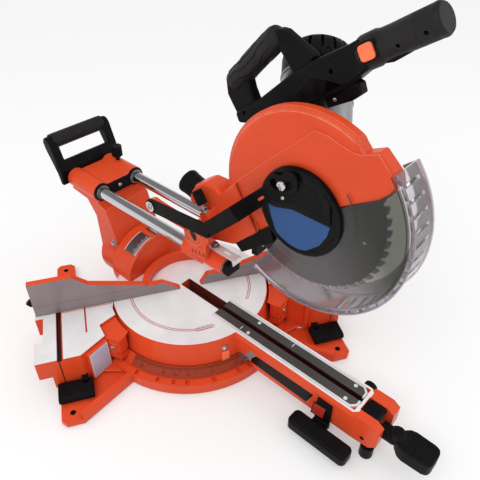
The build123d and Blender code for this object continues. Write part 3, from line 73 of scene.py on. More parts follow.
ROW = Matrix.Scale(MM, 4)
BASE = ROW @ Matrix.Translation((0.0, AXIS_Y, 0.0))
TABLE = ROW @ axes((0.0, AXIS_Y, 0.0), (math.sin(MITRE), -math.cos(MITRE), 0.0),
                   (math.cos(MITRE), math.sin(MITRE), 0.0), (0.0, 0.0, 1.0))
HEAD = TABLE @ axes((PIVOT_T + ARBOR_REACH * math.cos(HEAD_TILT), 0.0,
                     PIVOT_Z + ARBOR_REACH * math.sin(HEAD_TILT)),
                    (math.cos(HEAD_TILT), 0.0, math.sin(HEAD_TILT)), (0.0, 1.0, 0.0),
                    (-math.sin(HEAD_TILT), 0.0, math.cos(HEAD_TILT)))
MOTOR = HEAD @ axes((0.0, MOTOR_P, 0.0), (1.0, 0.0, 0.0),
                    (0.0, -math.sin(MOTOR_SLOPE), math.cos(MOTOR_SLOPE)),
                    (0.0, math.cos(MOTOR_SLOPE), math.sin(MOTOR_SLOPE)))


class Body(Enum):
    """Moving groups of the saw."""

    BASE = "base"
    TURNTABLE = "turntable"
    LOCK_HANDLE = "mitre_lock_handle"
    BEVEL_ARM = "bevel_arm"
    CARRIAGE = "carriage"
    LINK = "guard_link"
    HEAD = "head"
    BLADE = "blade"
    GUARD = "lower_guard"
    EXTENSION_LEFT = "extension_left"
    EXTENSION_RIGHT = "extension_right"
    STOP_SCREW = "depth_stop_screw"
    LOCK_OFF = "lock_off_button"
    RAIL_KNOB = "rail_lock_knob"
    LEVER_LEFT = "extension_lock_left"
    LEVER_RIGHT = "extension_lock_right"


# Scales of the noise in painted finishes, in cycles per metre.
MOTTLE = 14.0
GLOSS = 160.0
PEEL = 620.0


def shade(colour: Colour, factor: float, lift: float = 0.0) -> Colour:
    """A colour made darker or lighter by a factor, and lifted by an even amount."""
    return tuple(c * factor + lift for c in colour)


class Wiring:
    """Nodes of one tree and the links between them."""

    def __init__(self, tree: bpy.types.NodeTree) -> None:
        """Takes over a tree and empties it."""
        self.tree = tree
        self.tree.nodes.clear()

    def add(self, kind: str, feeds: Optional[Feeds] = None, **settings: object) -> bpy.types.Node:
        """Adds a node, sets its properties and feeds its inputs.

        Args:
            kind: Blender's name of the node.
            feeds: plain values or outputs of other nodes, by the input's name or number.
            settings: values of the node's properties.

        Returns:
            The new node.
        """
        node = self.tree.nodes.new(kind)
        for key, value in settings.items():
            setattr(node, key, value)
        for key, value in (feeds or {}).items():
            self.feed(node.inputs[key], value)
        return node

    def feed(self, target: Socket, value: object) -> None:
        """Gives an input a plain value or the output of another node.

        Args:
            target: the input.
            value: a plain value or an output.
        """
        if isinstance(value, Socket):
            self.tree.links.new(value, target)
        else:
            target.default_value = value

    def mix(self, factor: Socket, first: object, second: object) -> Socket:
        """Mix of two colours, each a plain colour or a socket.

        Args:
            factor: share of the second colour.
            first: colour at 0.
            second: colour at 1.

        Returns:
            The mixed colour.
        """
        low, high = (c if isinstance(c, Socket) else (*c, 1.0) for c in (first, second))
        node = self.add("ShaderNodeMix", {"Factor": factor, 6: low, 7: high}, data_type="RGBA")
        return node.outputs[2]

    def math(self, operation: str, first: object, second: object = 0.0) -> Socket:
        """Arithmetic on two numbers, each a plain number or a socket."""
        node = self.add("ShaderNodeMath", {0: first, 1: second}, operation=operation)
        return node.outputs["Value"]

    def part(self, vector: Socket, axis: str) -> Socket:
        """The X, Y or Z coordinate of a vector."""
        return self.add("ShaderNodeSeparateXYZ", {"Vector": vector}).outputs[axis]


class Sheet(Wiring):
    """Wiring of one material with a principled shader."""

    def __init__(self, name: str) -> None:
        """Starts an empty material.

        Args:
            name: the material's name.
        """
        self.material = bpy.data.materials.new(name)
        self.material.use_nodes = True
        super().__init__(self.material.node_tree)
        self.shader = self.add("ShaderNodeBsdfPrincipled")
        self.add("ShaderNodeOutputMaterial", {"Surface": self.shader.outputs["BSDF"]})
        self.place = self.add("ShaderNodeTexCoord").outputs["Object"]

    def surface(self, **values: object) -> None:
        """Feeds the shader: plain values for the whole surface, or outputs of other nodes."""
        for key, value in values.items():
            self.feed(self.shader.inputs[key.replace("_", " ")], value)

    def mapped(self, matrix: Matrix, stretch: Point3 = (1.0, 1.0, 1.0)) -> Socket:
        """Place on the piece, seen in a local frame and stretched.

        Args:
            matrix: the frame, as used to place pieces.
            stretch: factors along the frame's three axes.

        Returns:
            The mapped coordinates, in millimetres of the frame.
        """
        inverse = matrix.inverted()
        turn = self.add("ShaderNodeMapping", {
            "Vector": self.place, "Location": inverse.to_translation(),
            "Rotation": inverse.to_euler(), "Scale": inverse.to_scale(),
        }).outputs["Vector"]
        if stretch == (1.0, 1.0, 1.0):
            return turn
        return self.add("ShaderNodeMapping", {"Vector": turn, "Scale": stretch}).outputs["Vector"]

    def noise(self, vector: Socket, scale: float, detail: float = 2.0) -> Socket:
        """Noise from 0 to 1 over a vector, by its cycles per unit and its finer layers."""
        node = self.add("ShaderNodeTexNoise", {"Vector": vector, "Scale": scale, "Detail": detail})
        return node.outputs["Fac"]

    def ramp(self, factor: Socket, low: Colour, high: Colour, start: float = 0.3,
             end: float = 0.7) -> Socket:
        """Colour that runs from one to another as a factor grows.

        Args:
            factor: the factor.
            low: colour up to the start.
            high: colour from the end on.
            start: factor at which the change starts.
            end: factor at which it ends.

        Returns:
            The colour.
        """
        node = self.add("ShaderNodeValToRGB", {"Fac": factor})
        first, last = node.color_ramp.elements
        first.position, last.position = start, end
        first.color = (*low, 1.0)
        last.color = (*high, 1.0)
        return node.outputs["Color"]

    def span(self, factor: Socket, low: float, high: float, start: float = 0.0,
             end: float = 1.0) -> Socket:
        """Number that runs from low to high as a factor grows from start to end."""
        node = self.add("ShaderNodeMapRange", {"Value": factor, "From Min": start, "From Max": end,
                                               "To Min": low, "To Max": high})
        return node.outputs["Result"]

    def radius(self, vector: Socket) -> Socket:
        """Distance from the sideways axis of a frame.

        Args:
            vector: place in the frame.

        Returns:
            The distance.
        """
        flat = self.add("ShaderNodeVectorMath", {0: vector, 1: (1.0, 0.0, 1.0)},
                        operation="MULTIPLY").outputs["Vector"]
        return self.add("ShaderNodeVectorMath", {0: flat}, operation="LENGTH").outputs["Value"]

    def rounded(self, radius: float) -> Socket:
        """Normal with its sharp edges rounded off by a radius in metres."""
        return self.add("ShaderNodeBevel", {"Radius": radius}, samples=4).outputs["Normal"]

    def edge(self, normal: Socket) -> Socket:
        """How close a point lies to a sharp edge, from the rounded normal.

        Args:
            normal: the rounded normal.

        Returns:
            One at an edge and nought on a flat face.
        """
        flat = self.add("ShaderNodeNewGeometry").outputs["Normal"]
        dot = self.add("ShaderNodeVectorMath", {0: normal, 1: flat}, operation="DOT_PRODUCT")
        return self.span(dot.outputs["Value"], 1.0, 0.0, 0.75, 0.985)

    def relief(self, height: Socket, strength: float, distance: float,
               normal: Optional[Socket] = None) -> None:
        """Bump on the shader's normal.

        Args:
            height: height of the bumps.
            strength: how strong they are.
            distance: their size in metres.
            normal: the normal that they stand on.
        """
        feeds: Feeds = {"Strength": strength, "Distance": distance, "Height": height}
        if normal is not None:
            feeds["Normal"] = normal
        node = self.add("ShaderNodeBump", feeds)
        self.surface(Normal=node.outputs["Normal"])

    def paint(self, colour: Colour) -> Socket:
        """Faintly mottled paint."""
        return self.ramp(self.noise(self.place, MOTTLE, 3.0), shade(colour, 0.9), colour)

    def peel(self, normal: Socket) -> None:
        """Orange peel of sprayed paint."""
        self.relief(self.noise(self.place, PEEL, 1.0), 0.05, 0.0006, normal)


@dataclass(frozen=True)
class Finish:
    """A surface finish that can be put on any piece."""

    name: str
    slot: str
    colour: Colour

    def wire(self, sheet: Sheet) -> None:
        """Wires the finish's nodes; each kind of finish has its own."""
        raise NotImplementedError

    def material(self) -> bpy.types.Material:
        """The finish's material, made at its first use.

        Returns:
            The material.
        """
        known = bpy.data.materials.get(self.name)
        if known is not None:
            return known
        sheet = Sheet(self.name)
        self.wire(sheet)
        return sheet.material


@dataclass(frozen=True)
class CastPaint(Finish):
    """Gloss paint on a casting: faint mottling, orange peel, and edges lightened partly as wear and
    partly as a painted highlight.
    """

    worn_and_highlit_edge: Colour = (0.95, 0.42, 0.27)
    rounding: float = 0.0021
    wear_and_highlight_patches: float = 90.0

    def wire(self, sheet: Sheet) -> None:
        """Wires paint colour, gloss and orange peel.

        Args:
            sheet: wiring of the finish's material.
        """
        normal = sheet.rounded(self.rounding)
        # Edges are lightened towards the edge colour: partly real wear, partly a painted highlight
        # along the edges.
        wear_and_highlight_patches = sheet.span(sheet.noise(sheet.place, self.wear_and_highlight_patches), 0.55, 1.0, 0.35, 0.65)
        worn_and_highlit = sheet.math("MULTIPLY", sheet.edge(normal), wear_and_highlight_patches)
        gloss = sheet.span(sheet.noise(sheet.place, GLOSS), 0.27, 0.4)
        sheet.surface(Base_Color=sheet.mix(worn_and_highlit, sheet.paint(self.colour), self.worn_and_highlit_edge),
                      Roughness=gloss, Coat_Weight=0.12, Coat_Roughness=0.08,
                      Specular_IOR_Level=0.14)
        sheet.peel(normal)


@dataclass(frozen=True)
class Machined(Finish):
    """Bare machined metal with fine tool lines along one direction of a frame."""

    grain: Point3 = (1.0, 30.0, 1.0)
    rough: float = 0.34
    metallic: float = 1.0
    stains: float = 22.0
    rounding: float = 0.0008

    def wire(self, sheet: Sheet) -> None:
        """Wires tool lines, stains and roughness.

        Args:
            sheet: wiring of the finish's material.
        """
        normal = sheet.rounded(self.rounding)
        lines = sheet.noise(sheet.mapped(TABLE, self.grain), 0.12, 4.0)
        stains = sheet.noise(sheet.place, self.stains, 4.0)
        sheet.surface(Base_Color=sheet.ramp(stains, shade(self.colour, 0.82), self.colour),
                      Roughness=sheet.span(lines, self.rough - 0.1, self.rough + 0.12),
                      Metallic=self.metallic)
        sheet.relief(lines, 0.06, 0.0004, normal)


@dataclass(frozen=True)
class Bare(Finish):
    """Painted casting that is bare metal past a plane, up to a forward limit where one is given."""

    metal: Colour = (0.96, 0.945, 0.95)
    axis: str = "Z"
    level: float = 84.8
    beyond: float = 85.2
    reach: float = 0.0
    shine: float = 0.18
    chamfer: float = 0.0
    grain: Point3 = (1.0, 26.0, 1.0)
    stains: float = 18.0
    rounding: float = 0.0012

    def wire(self, sheet: Sheet) -> None:
        """Wires paint, machined metal and the mask between them.

        Args:
            sheet: wiring of the finish's material.
        """
        normal = sheet.rounded(self.rounding)
        height = sheet.part(sheet.place, self.axis)
        above = sheet.math("GREATER_THAN", height, self.level * MM)
        mask = sheet.math("MULTIPLY", above, sheet.math("LESS_THAN", height, self.beyond * MM))
        if self.reach:
            local = sheet.mapped(TABLE)
            forward = sheet.part(local, "X")
            sideways = sheet.math("ABSOLUTE", sheet.part(local, "Y"))
            corner = sheet.math("LESS_THAN", sheet.math("ADD", forward, sideways), self.chamfer)
            mask = sheet.math("MULTIPLY", mask, sheet.math("LESS_THAN", forward, self.reach))
            mask = sheet.math("MULTIPLY", mask, corner)
        lines = sheet.noise(sheet.mapped(TABLE, self.grain), 0.1, 4.0)
        stains = sheet.noise(sheet.place, self.stains, 4.0)
        metal = sheet.ramp(stains, shade(self.metal, 0.86), self.metal)
        gloss = sheet.span(sheet.noise(sheet.place, GLOSS), 0.24, 0.34)
        dry = sheet.math("MULTIPLY", sheet.span(lines, -0.05, 0.1), mask)
        sheet.surface(Base_Color=sheet.mix(mask, sheet.paint(self.colour), metal),
                      Metallic=sheet.math("MULTIPLY", mask, self.shine),
                      Roughness=sheet.math("ADD", gloss, dry), Coat_Weight=0.1, Coat_Roughness=0.1,
                      Specular_IOR_Level=0.16)
        sheet.peel(normal)


@dataclass(frozen=True)
class Moulded(Finish):
    """Moulded plastic or rubber with a fine spark-eroded grain, and edges lightened partly as
    scuffs and partly as a painted highlight.
    """

    rough: float = 0.42
    shine: float = 0.24
    grain: float = 900.0
    depth: float = 0.12
    cloud: float = 30.0
    sheen: float = 210.0
    rounding: float = 0.0012

    def wire(self, sheet: Sheet) -> None:
        """Wires colour, sheen and grain.

        Args:
            sheet: wiring of the finish's material.
        """
        normal = sheet.rounded(self.rounding)
        cloud = sheet.noise(sheet.place, self.cloud, 3.0)
        pale = shade(self.colour, 1.3, 0.0015)
        # Edges are lightened towards a paler colour: partly scuffs, partly a painted highlight.
        edge = sheet.math("MULTIPLY", sheet.edge(normal), sheet.span(cloud, 0.3, 0.9))
        base = sheet.ramp(cloud, self.colour, pale)
        scuffed_and_highlit = tuple(min(1.0, c * 2.2 + 0.045) for c in self.colour)
        sheen = sheet.noise(sheet.place, self.sheen)
        sheet.surface(Base_Color=sheet.mix(edge, base, scuffed_and_highlit), Specular_IOR_Level=self.shine,
                      Roughness=sheet.span(sheen, self.rough - 0.06, self.rough + 0.1))
        sheet.relief(sheet.noise(sheet.place, self.grain, 2.0), self.depth, 0.0003, normal)


@dataclass(frozen=True)
class Polished(Finish):
    """Polished or plated metal with faint wiping marks along the rails."""

    rough: float = 0.1
    grain: Point3 = (0.02, 1.0, 1.0)
    rounding: float = 0.0006

    def wire(self, sheet: Sheet) -> None:
        """Wires colour and streaks.

        Args:
            sheet: wiring of the finish's material.
        """
        streak = sheet.noise(sheet.mapped(TABLE, self.grain), 1.4, 3.0)
        sheet.surface(Base_Color=sheet.ramp(streak, shade(self.colour, 0.9), self.colour),
                      Roughness=sheet.span(streak, self.rough, self.rough + 0.1), Metallic=1.0)
        sheet.relief(streak, 0.02, 0.0002, sheet.rounded(self.rounding))


@dataclass(frozen=True)
class Clear(Finish):
    """Smoky polycarbonate that pales downwards, its darker part painted shade, with a pale rim and
    fine scratches.
    """

    pale: Colour = (0.62, 0.59, 0.6)
    rim: Colour = (0.66, 0.61, 0.66)
    rim_radius: float = 153.5
    fade: float = 100.0
    grain: Point3 = (1.0, 1.0, 9.0)

    def wire(self, sheet: Sheet) -> None:
        """Wires tint, scratches and transmission.

        Args:
            sheet: wiring of the finish's material.
        """
        local = sheet.mapped(HEAD)
        scratch = sheet.noise(sheet.mapped(HEAD, self.grain), 0.3, 4.0)
        # Painted shade: the plate is darker from the arbor forward and paler behind it.
        depth = sheet.span(sheet.part(local, "X"), 0.0, 1.0, 0.0, self.fade)
        smoke_and_painted_shade = sheet.mix(depth, self.pale, self.colour)
        outer = sheet.span(sheet.radius(local), 0.0, 1.0, self.rim_radius, self.rim_radius + 1.5)
        sheet.surface(Base_Color=sheet.mix(outer, smoke_and_painted_shade, self.rim),
                      Roughness=sheet.span(scratch, 0.03, 0.18), Transmission_Weight=0.93, IOR=1.25,
                      Coat_Weight=0.4, Coat_Roughness=0.06)
        sheet.relief(scratch, 0.02, 0.0003)


@dataclass(frozen=True)
class Ground(Finish):
    """Ground saw steel: rings about the arbor, a dark body and bright tooth tips."""

    tip: Colour = (0.72, 0.71, 0.69)
    tip_radius: float = 120.5
    rings: float = 1.6
    rounding: float = 0.0004

    def wire(self, sheet: Sheet) -> None:
        """Wires grinding rings and the tips.

        Args:
            sheet: wiring of the finish's material.
        """
        radius = sheet.radius(sheet.mapped(HEAD))
        grain = sheet.add("ShaderNodeTexNoise", {"W": radius, "Scale": self.rings, "Detail": 3.0},
                          noise_dimensions="1D").outputs["Fac"]
        body = sheet.ramp(grain, shade(self.colour, 0.72), self.colour)
        tips = sheet.span(radius, 0.0, 1.0, self.tip_radius, self.tip_radius + 1.5)
        sheet.surface(Base_Color=sheet.mix(tips, body, self.tip), Metallic=0.9,
                      Roughness=sheet.span(grain, 0.26, 0.44))
        sheet.relief(grain, 0.08, 0.0004, sheet.rounded(self.rounding))


@dataclass(frozen=True)
class Printed(Finish):
    """Printed film or enamel plate with a slightly uneven sheen."""

    rough: float = 0.35
    shine: float = 0.25
    cloud: float = 60.0
    grain: float = 500.0

    def wire(self, sheet: Sheet) -> None:
        """Wires colour and sheen.

        Args:
            sheet: wiring of the finish's material.
        """
        cloud = sheet.noise(sheet.place, self.cloud, 3.0)
        sheet.surface(Base_Color=sheet.ramp(cloud, shade(self.colour, 0.92), self.colour),
                      Roughness=sheet.span(cloud, self.rough - 0.05, self.rough + 0.1),
                      Specular_IOR_Level=self.shine)
        sheet.relief(sheet.noise(sheet.place, self.grain, 1.0), 0.04, 0.0003)


ORANGE = (0.78, 0.077, 0.021)
PAINT = CastPaint("cast_paint", "orange_paint", ORANGE)
# Fence faces are bare metal made much darker than the bare tops: a painted reflection of dark
# surroundings.
PAINT_FENCE = Bare("fence_face_dark_reflection", "orange_paint", ORANGE, metal=(0.3, 0.25, 0.265), axis="Y",
                   level=-18.5, beyond=-18.1)
PAINT_TOP = Bare("casting_bare_top", "orange_paint", ORANGE)
PAINT_ARM = Bare("turntable_bare_top", "orange_paint", ORANGE, reach=394.0, chamfer=416.0)
ALUMINIUM = Machined("machined_aluminium", "bare_aluminium", (0.31, 0.305, 0.32))
STRIP = Machined("bright_strip", "bare_aluminium", (0.93, 0.92, 0.93), metallic=0.3)
PLATE = Machined("kerf_plate_steel", "dark_plate", (0.2, 0.185, 0.175), grain=(0.4, 12.0, 1.0),
                 rough=0.4)
STEEL = Machined("plain_steel", "steel", (0.5, 0.49, 0.48), rough=0.3)
IRON = Machined("laminated_iron", "iron_core", (0.3, 0.29, 0.28), rough=0.45)
BRONZE = Machined("bronze_bush", "bronze", (0.55, 0.36, 0.17), rough=0.35)
CHROME = Polished("chrome_plate", "chrome", (0.64, 0.625, 0.645))
BLACK = Moulded("moulded_black", "black_plastic", (0.006, 0.0054, 0.0061), rough=0.36, shine=0.055)
SATIN = Moulded("satin_black", "black_plastic", (0.0032, 0.003, 0.0034), rough=0.2, shine=0.09,
                depth=0.03)
GRIP_RUBBER = Moulded("grip_rubber", "rubber", (0.012, 0.011, 0.011), rough=0.5, shine=0.2,
                      grain=700.0, depth=0.25)
RUBBER = Moulded("foot_rubber", "rubber", (0.009, 0.009, 0.0095), rough=0.7)
ORANGE_PLASTIC = Moulded("moulded_orange", "orange_plastic", (0.93, 0.165, 0.06), rough=0.36,
                         shine=0.4)
CLEAR = Clear("clear_guard", "clear_plastic", (0.145, 0.15, 0.125))
BLADE = Ground("saw_steel", "blade_steel", (0.045, 0.043, 0.042))
CARBIDE = Polished("carbide_tip", "blade_steel", (0.62, 0.61, 0.62), rough=0.22)
# Orange paint darkened as if in shadow: painted shade on the mitre scale and the slot rim.
SCALE = Printed("scale_shaded_orange", "scale_plate", (0.36, 0.052, 0.022), rough=0.45, shine=0.1)
INK = Printed("scale_ink", "scale_plate", (0.022, 0.01, 0.008), rough=0.5)
BLUE = Printed("blue_panel", "black_plastic", (0.022, 0.085, 0.25), rough=0.4)
PALE_LABEL = Printed("pale_label", "scale_plate", (0.5, 0.56, 0.72), rough=0.3)
WHITE_LABEL = Printed("label_border", "scale_plate", (0.78, 0.76, 0.8), rough=0.3)
GREY_LABEL = Printed("grey_label", "dark_plate", (0.25, 0.23, 0.235), rough=0.35)
RED_LABEL = Printed("red_label", "scale_plate", (0.5, 0.035, 0.025), rough=0.35)
# Painted shade: a near-black red that stands in for the orange channel in shadow.
SHADE_PAINT = Printed("channel_painted_shade", "orange_paint", (0.12, 0.018, 0.013), rough=0.55)

NODES_OF: dict[Finish, tuple[str, ...]] = {
    PAINT_TOP: ("base_casting", "extension_left", "extension_right"),
    # The mitre scale is orange paint darkened as painted shade.
    SCALE: ("mitre_scale",),
    RUBBER: ("rubber_feet",),
    PAINT_FENCE: ("lower_fence", "upper_fence_left", "upper_fence_right"),
    STEEL: ("base_fasteners", "extension_rods_left", "extension_rods_right", "bevel_pivot_bolt",
            "chop_spring", "head_bearings", "head_screws", "arbor_shaft", "arbor_clamp"),
    BLACK: ("extension_lock_left", "extension_lock_right", "fence_lock_left", "fence_lock_right",
            "stabiliser_bar", "mitre_lock_handle", "detent_lever", "detent_override_knob",
            "arm_foot", "rail_seal", "rear_handle", "rail_lock_knob", "bevel_lock_lever",
            "carriage_caps", "guard_link", "dust_port", "dust_flap", "depth_stop_screw",
            "motor_cap", "spindle_lock", "handle_left", "handle_right", "trigger", "guard_hub"),
    PAINT_ARM: ("turntable",),
    PLATE: ("kerf_plate_left", "kerf_plate_right", "bevel_scale"),
    CHROME: ("kerf_screws", "rails", "carriage_pins"),
    CLEAR: ("mitre_pointer", "lower_guard"),
    PAINT: ("bevel_arm", "carriage", "upper_guard"),
    BRONZE: ("rail_bushings",),
    ALUMINIUM: ("gear_case", "motor_housing"),
    IRON: ("stator", "armature"),
    ORANGE_PLASTIC: ("lock_off_button",),
    BLADE: ("blade",),
}


@dataclass
class Studio:
    """Floor, soft light, white surroundings and the camera of the picture."""

    camera_at: Point3 = (-0.12104, -0.75134, 0.77741)
    right: Point3 = (0.9575, -0.2885, 0.0)
    up: Point3 = (0.1777, 0.5897, 0.7878)
    roll: float = math.radians(0.27)
    lens: float = 38.69
    sensor: float = 36.0
    floor_size: float = 9.0
    floor_colour: Colour = (0.93, 0.93, 0.93)
    low_sky: float = 0.28
    high_sky: float = 1.25
    dim_sky: float = 0.26
    glow: float = 0.3
    key: tuple[Point3, float, float] = ((-1.1, -1.2, 1.9), 1.1, 13.0)
    fill: tuple[Point3, float, float] = ((1.6, -0.6, 1.2), 1.4, 3.0)
    aim: Point3 = (0.0, 0.0, 0.2)

    def build(self) -> None:
        """Sets up the whole studio."""
        self.camera()
        self.floor()
        self.world()
        self.lamp("key_light", *self.key)
        self.lamp("fill_light", *self.fill)
        bpy.context.scene.view_settings.view_transform = "Standard"

    def camera(self) -> None:
        """Makes the camera at the picture's viewpoint."""
        right = Vector(self.right).normalized()
        up = Vector(self.up).normalized()
        turned_right = right * math.cos(self.roll) + up * math.sin(self.roll)
        turned_up = up * math.cos(self.roll) - right * math.sin(self.roll)
        data = bpy.data.cameras.new("camera")
        data.lens = self.lens
        data.sensor_width = self.sensor
        data.sensor_fit = "HORIZONTAL"
        camera = bpy.data.objects.new("camera", data)
        bpy.context.scene.collection.objects.link(camera)
        camera.matrix_world = axes(self.camera_at, tuple(turned_right), tuple(turned_up),
                                   tuple(turned_right.cross(turned_up)))
        bpy.context.scene.camera = camera

    @staticmethod
    def seen(wiring: Wiring) -> Socket:
        """One for rays that see the background directly, mirrored or through a clear piece.

        Args:
            wiring: the tree that asks.

        Returns:
            One or nought.
        """
        path = wiring.add("ShaderNodeLightPath")
        seen = path.outputs["Is Camera Ray"]
        for key in ("Is Glossy Ray", "Is Transmission Ray"):
            seen = wiring.math("MAXIMUM", seen, path.outputs[key])
        return seen

    def floor(self) -> None:
        """Lays a pale floor that keeps the shadow of the saw."""
        Shop.clear()
        bpy.ops.mesh.primitive_plane_add(size=self.floor_size, location=(0.0, 0.0, 0.0))
        floor = bpy.context.object
        floor.name = "floor"
        material = bpy.data.materials.new("floor")
        material.use_nodes = True
        wiring = Wiring(material.node_tree)
        matt = wiring.add("ShaderNodeBsdfDiffuse", {"Color": (*self.floor_colour, 1.0)})
        glow = wiring.add("ShaderNodeEmission", {"Color": (1.0, 1.0, 1.0, 1.0)})
        blend = wiring.add("ShaderNodeMixShader", {
            "Fac": wiring.math("MULTIPLY", self.seen(wiring), self.glow),
            1: matt.outputs["BSDF"], 2: glow.outputs["Emission"],
        })
        wiring.add("ShaderNodeOutputMaterial", {"Surface": blend.outputs["Shader"]})
        floor.data.materials.append(material)

    @staticmethod
    def sky(wiring: Wiring, levels: Sequence[Point2]) -> Socket:
        """Brightness by height in the sky.

        Args:
            wiring: the world's tree.
            levels: pairs of height, from 0 to 1, and level.

        Returns:
            The brightness.
        """
        height = wiring.part(wiring.add("ShaderNodeTexCoord").outputs["Generated"], "Z")
        ramp = wiring.add("ShaderNodeValToRGB", {"Fac": height})
        while len(ramp.color_ramp.elements) < len(levels):
            ramp.color_ramp.elements.new(0.5)
        for element, (position, level) in zip(ramp.color_ramp.elements, levels):
            element.position = position
            element.color = (level, level, level, 1.0)
        return ramp.outputs["Color"]

    def world(self) -> None:
        """Surrounds the saw with soft light from a white backdrop and a dimmer ceiling."""
        world = bpy.data.worlds.new("surroundings")
        world.use_nodes = True
        wiring = Wiring(world.node_tree)
        soft = self.sky(wiring, ((0.0, self.low_sky), (1.0, self.high_sky)))
        shown = self.sky(wiring, ((0.0, 1.0), (0.3, 1.0), (0.5, self.dim_sky), (0.8, self.dim_sky),
                                  (0.95, 0.8)))
        light = wiring.mix(self.seen(wiring), soft, shown)
        back = wiring.add("ShaderNodeBackground", {"Color": light})
        wiring.add("ShaderNodeOutputWorld", {"Surface": back.outputs["Background"]})
        bpy.context.scene.world = world

    def lamp(self, name: str, place: Point3, size: float, power: float) -> None:
        """Hangs a square soft light that looks at the saw.

        Args:
            name: the lamp's name.
            place: where it hangs, in metres.
            size: length of its sides.
            power: watts.
        """
        data = bpy.data.lights.new(name, "AREA")
        data.size = size
        data.energy = power
        lamp = bpy.data.objects.new(name, data)
        bpy.context.scene.collection.objects.link(lamp)
        lamp.location = place
        beam = Vector(self.aim) - Vector(place)
        lamp.rotation_euler = beam.to_track_quat("-Z", "Y").to_euler()


class Shop:
    """Modelling by operators, in millimetres of a local frame."""

    merge: ClassVar[float] = 0.001
    sliver: ClassVar[float] = 0.0005

    @staticmethod
    def clear() -> None:
        """Deselects everything."""
        bpy.ops.object.select_all(action="DESELECT")

    @staticmethod
    def pick(*objects: Piece) -> None:
        """Selects some objects, the first as the active one.

        Args:
            objects: the objects.
        """
        Shop.clear()
        for piece in objects:
            piece.select_set(True)
        bpy.context.view_layer.objects.active = objects[0]

    @staticmethod
    @contextmanager
    def editing() -> Iterator[None]:
        """Edit mode with the whole mesh selected, left again at the end."""
        bpy.ops.object.mode_set(mode="EDIT")
        bpy.ops.mesh.select_all(action="SELECT")
        yield
        bpy.ops.object.mode_set(mode="OBJECT")

    @staticmethod
    def outline(points: Sequence[Point3], filled: bool = True) -> Piece:
        """Flat outline through some points.

        Args:
            points: corners in order.
            filled: whether the outline is a face or a bare loop.

        Returns:
            The new object.
        """
        Shop.clear()
        bpy.ops.mesh.primitive_circle_add(vertices=len(points), radius=1.0,
                                          fill_type="NGON" if filled else "NOTHING")
        piece = bpy.context.object
        for vertex, point in zip(piece.data.vertices, points):
            vertex.co = point
        return piece

    @staticmethod
    def tidy(piece: Piece) -> Piece:
        """Merges doubles and turns all faces outwards.

        Args:
            piece: the object.

        Returns:
            The same object.
        """
        Shop.pick(piece)
        with Shop.editing():
            bpy.ops.mesh.remove_doubles(threshold=Shop.merge)
            bpy.ops.mesh.dissolve_degenerate(threshold=Shop.sliver)
            bpy.ops.mesh.delete_loose()
            bpy.ops.mesh.select_all(action="SELECT")
            bpy.ops.mesh.normals_make_consistent(inside=False)
        return piece

    @staticmethod
    def prism(points: Sequence[Point3], offset: Point3) -> Piece:
        """Outline drawn out along an offset.

        Args:
            points: corners of the outline.
            offset: how far it is drawn out.

        Returns:
            The new object.
        """
        piece = Shop.outline(points)
        with Shop.editing():
            bpy.ops.mesh.extrude_region_move(TRANSFORM_OT_translate={"value": offset})
        return Shop.tidy(piece)

    @staticmethod
    def side(points: Outline, p0: float, p1: float) -> Piece:
        """Side outline (forward, up) between two sideways planes."""
        return Shop.prism([(u, p0, w) for u, w in points], (0.0, p1 - p0, 0.0))

    @staticmethod
    def slab(points: Outline, p0: float, p1: float, *rounding: float) -> Piece:
        """Side outline between two sideways planes, its edges rounded as by soften."""
        piece = Shop.side(points, p0, p1)
        return Shop.soften(piece, *rounding)

    @staticmethod
    def plan(points: Outline, z0: float, z1: float) -> Piece:
        """Outline seen from above between two heights."""
        return Shop.prism([(x, y, z0) for x, y in points], (0.0, 0.0, z1 - z0))

    @staticmethod
    def ring(outer: Outline, inner: Outline, p0: float, p1: float) -> Piece:
        """Side outline with a hole of as many corners, between two sideways planes.

        Args:
            outer: corners of the outside.
            inner: corners of the hole.
            p0: left plane.
            p1: right plane.

        Returns:
            The new object.
        """
        first = Shop.outline([(u, p0, w) for u, w in outer], filled=False)
        second = Shop.outline([(u, p0, w) for u, w in inner], filled=False)
        Shop.pick(first, second)
        bpy.ops.object.join()
        with Shop.editing():
            bpy.ops.mesh.bridge_edge_loops()
            bpy.ops.mesh.select_all(action="SELECT")
            bpy.ops.mesh.extrude_region_move(TRANSFORM_OT_translate={"value": (0.0, p1 - p0, 0.0)})
        return Shop.tidy(first)

    @staticmethod
    def spun(points: Sequence[Point3], angle: float, steps: int, filled: bool) -> Piece:
        """Outline spun about Z through an angle in radians.

        Args:
            points: corners of the outline.
            angle: the turn; Blender counts it clockwise.
            steps: faces along the turn.
            filled: whether the ends are closed.

        Returns:
            The new object.
        """
        piece = Shop.outline(points, filled)
        with Shop.editing():
            bpy.ops.mesh.spin(steps=steps, angle=angle, center=(0.0, 0.0, 0.0),
                              axis=(0.0, 0.0, 1.0))
        return Shop.tidy(piece)

    @staticmethod
    def lathe(profile: Outline, steps: int = 48) -> Piece:
        """Closed outline (radius, height) turned about Z."""
        return Shop.spun([(r, 0.0, h) for r, h in profile], 2.0 * math.pi, steps, False)

    @staticmethod
    def bar(radius: float, start: float, end: float, steps: int) -> Piece:
        """Plain round bar about Z, as a core or a cutter."""
        return Shop.lathe(box(0.0, radius, start, end), steps)

    @staticmethod
    def arc(profile: Outline, start: float, end: float, steps: int = 48) -> Piece:
        """Closed outline (radius, height) swept about Z between two angles in degrees.

        Args:
            profile: corners of the outline.
            start: first angle.
            end: last angle.
            steps: faces along the arc.

        Returns:
            The new object.
        """
        a = math.radians(start)
        points = [(r * math.cos(a), r * math.sin(a), h) for r, h in profile]
        return Shop.spun(points, math.radians(start - end), steps, True)

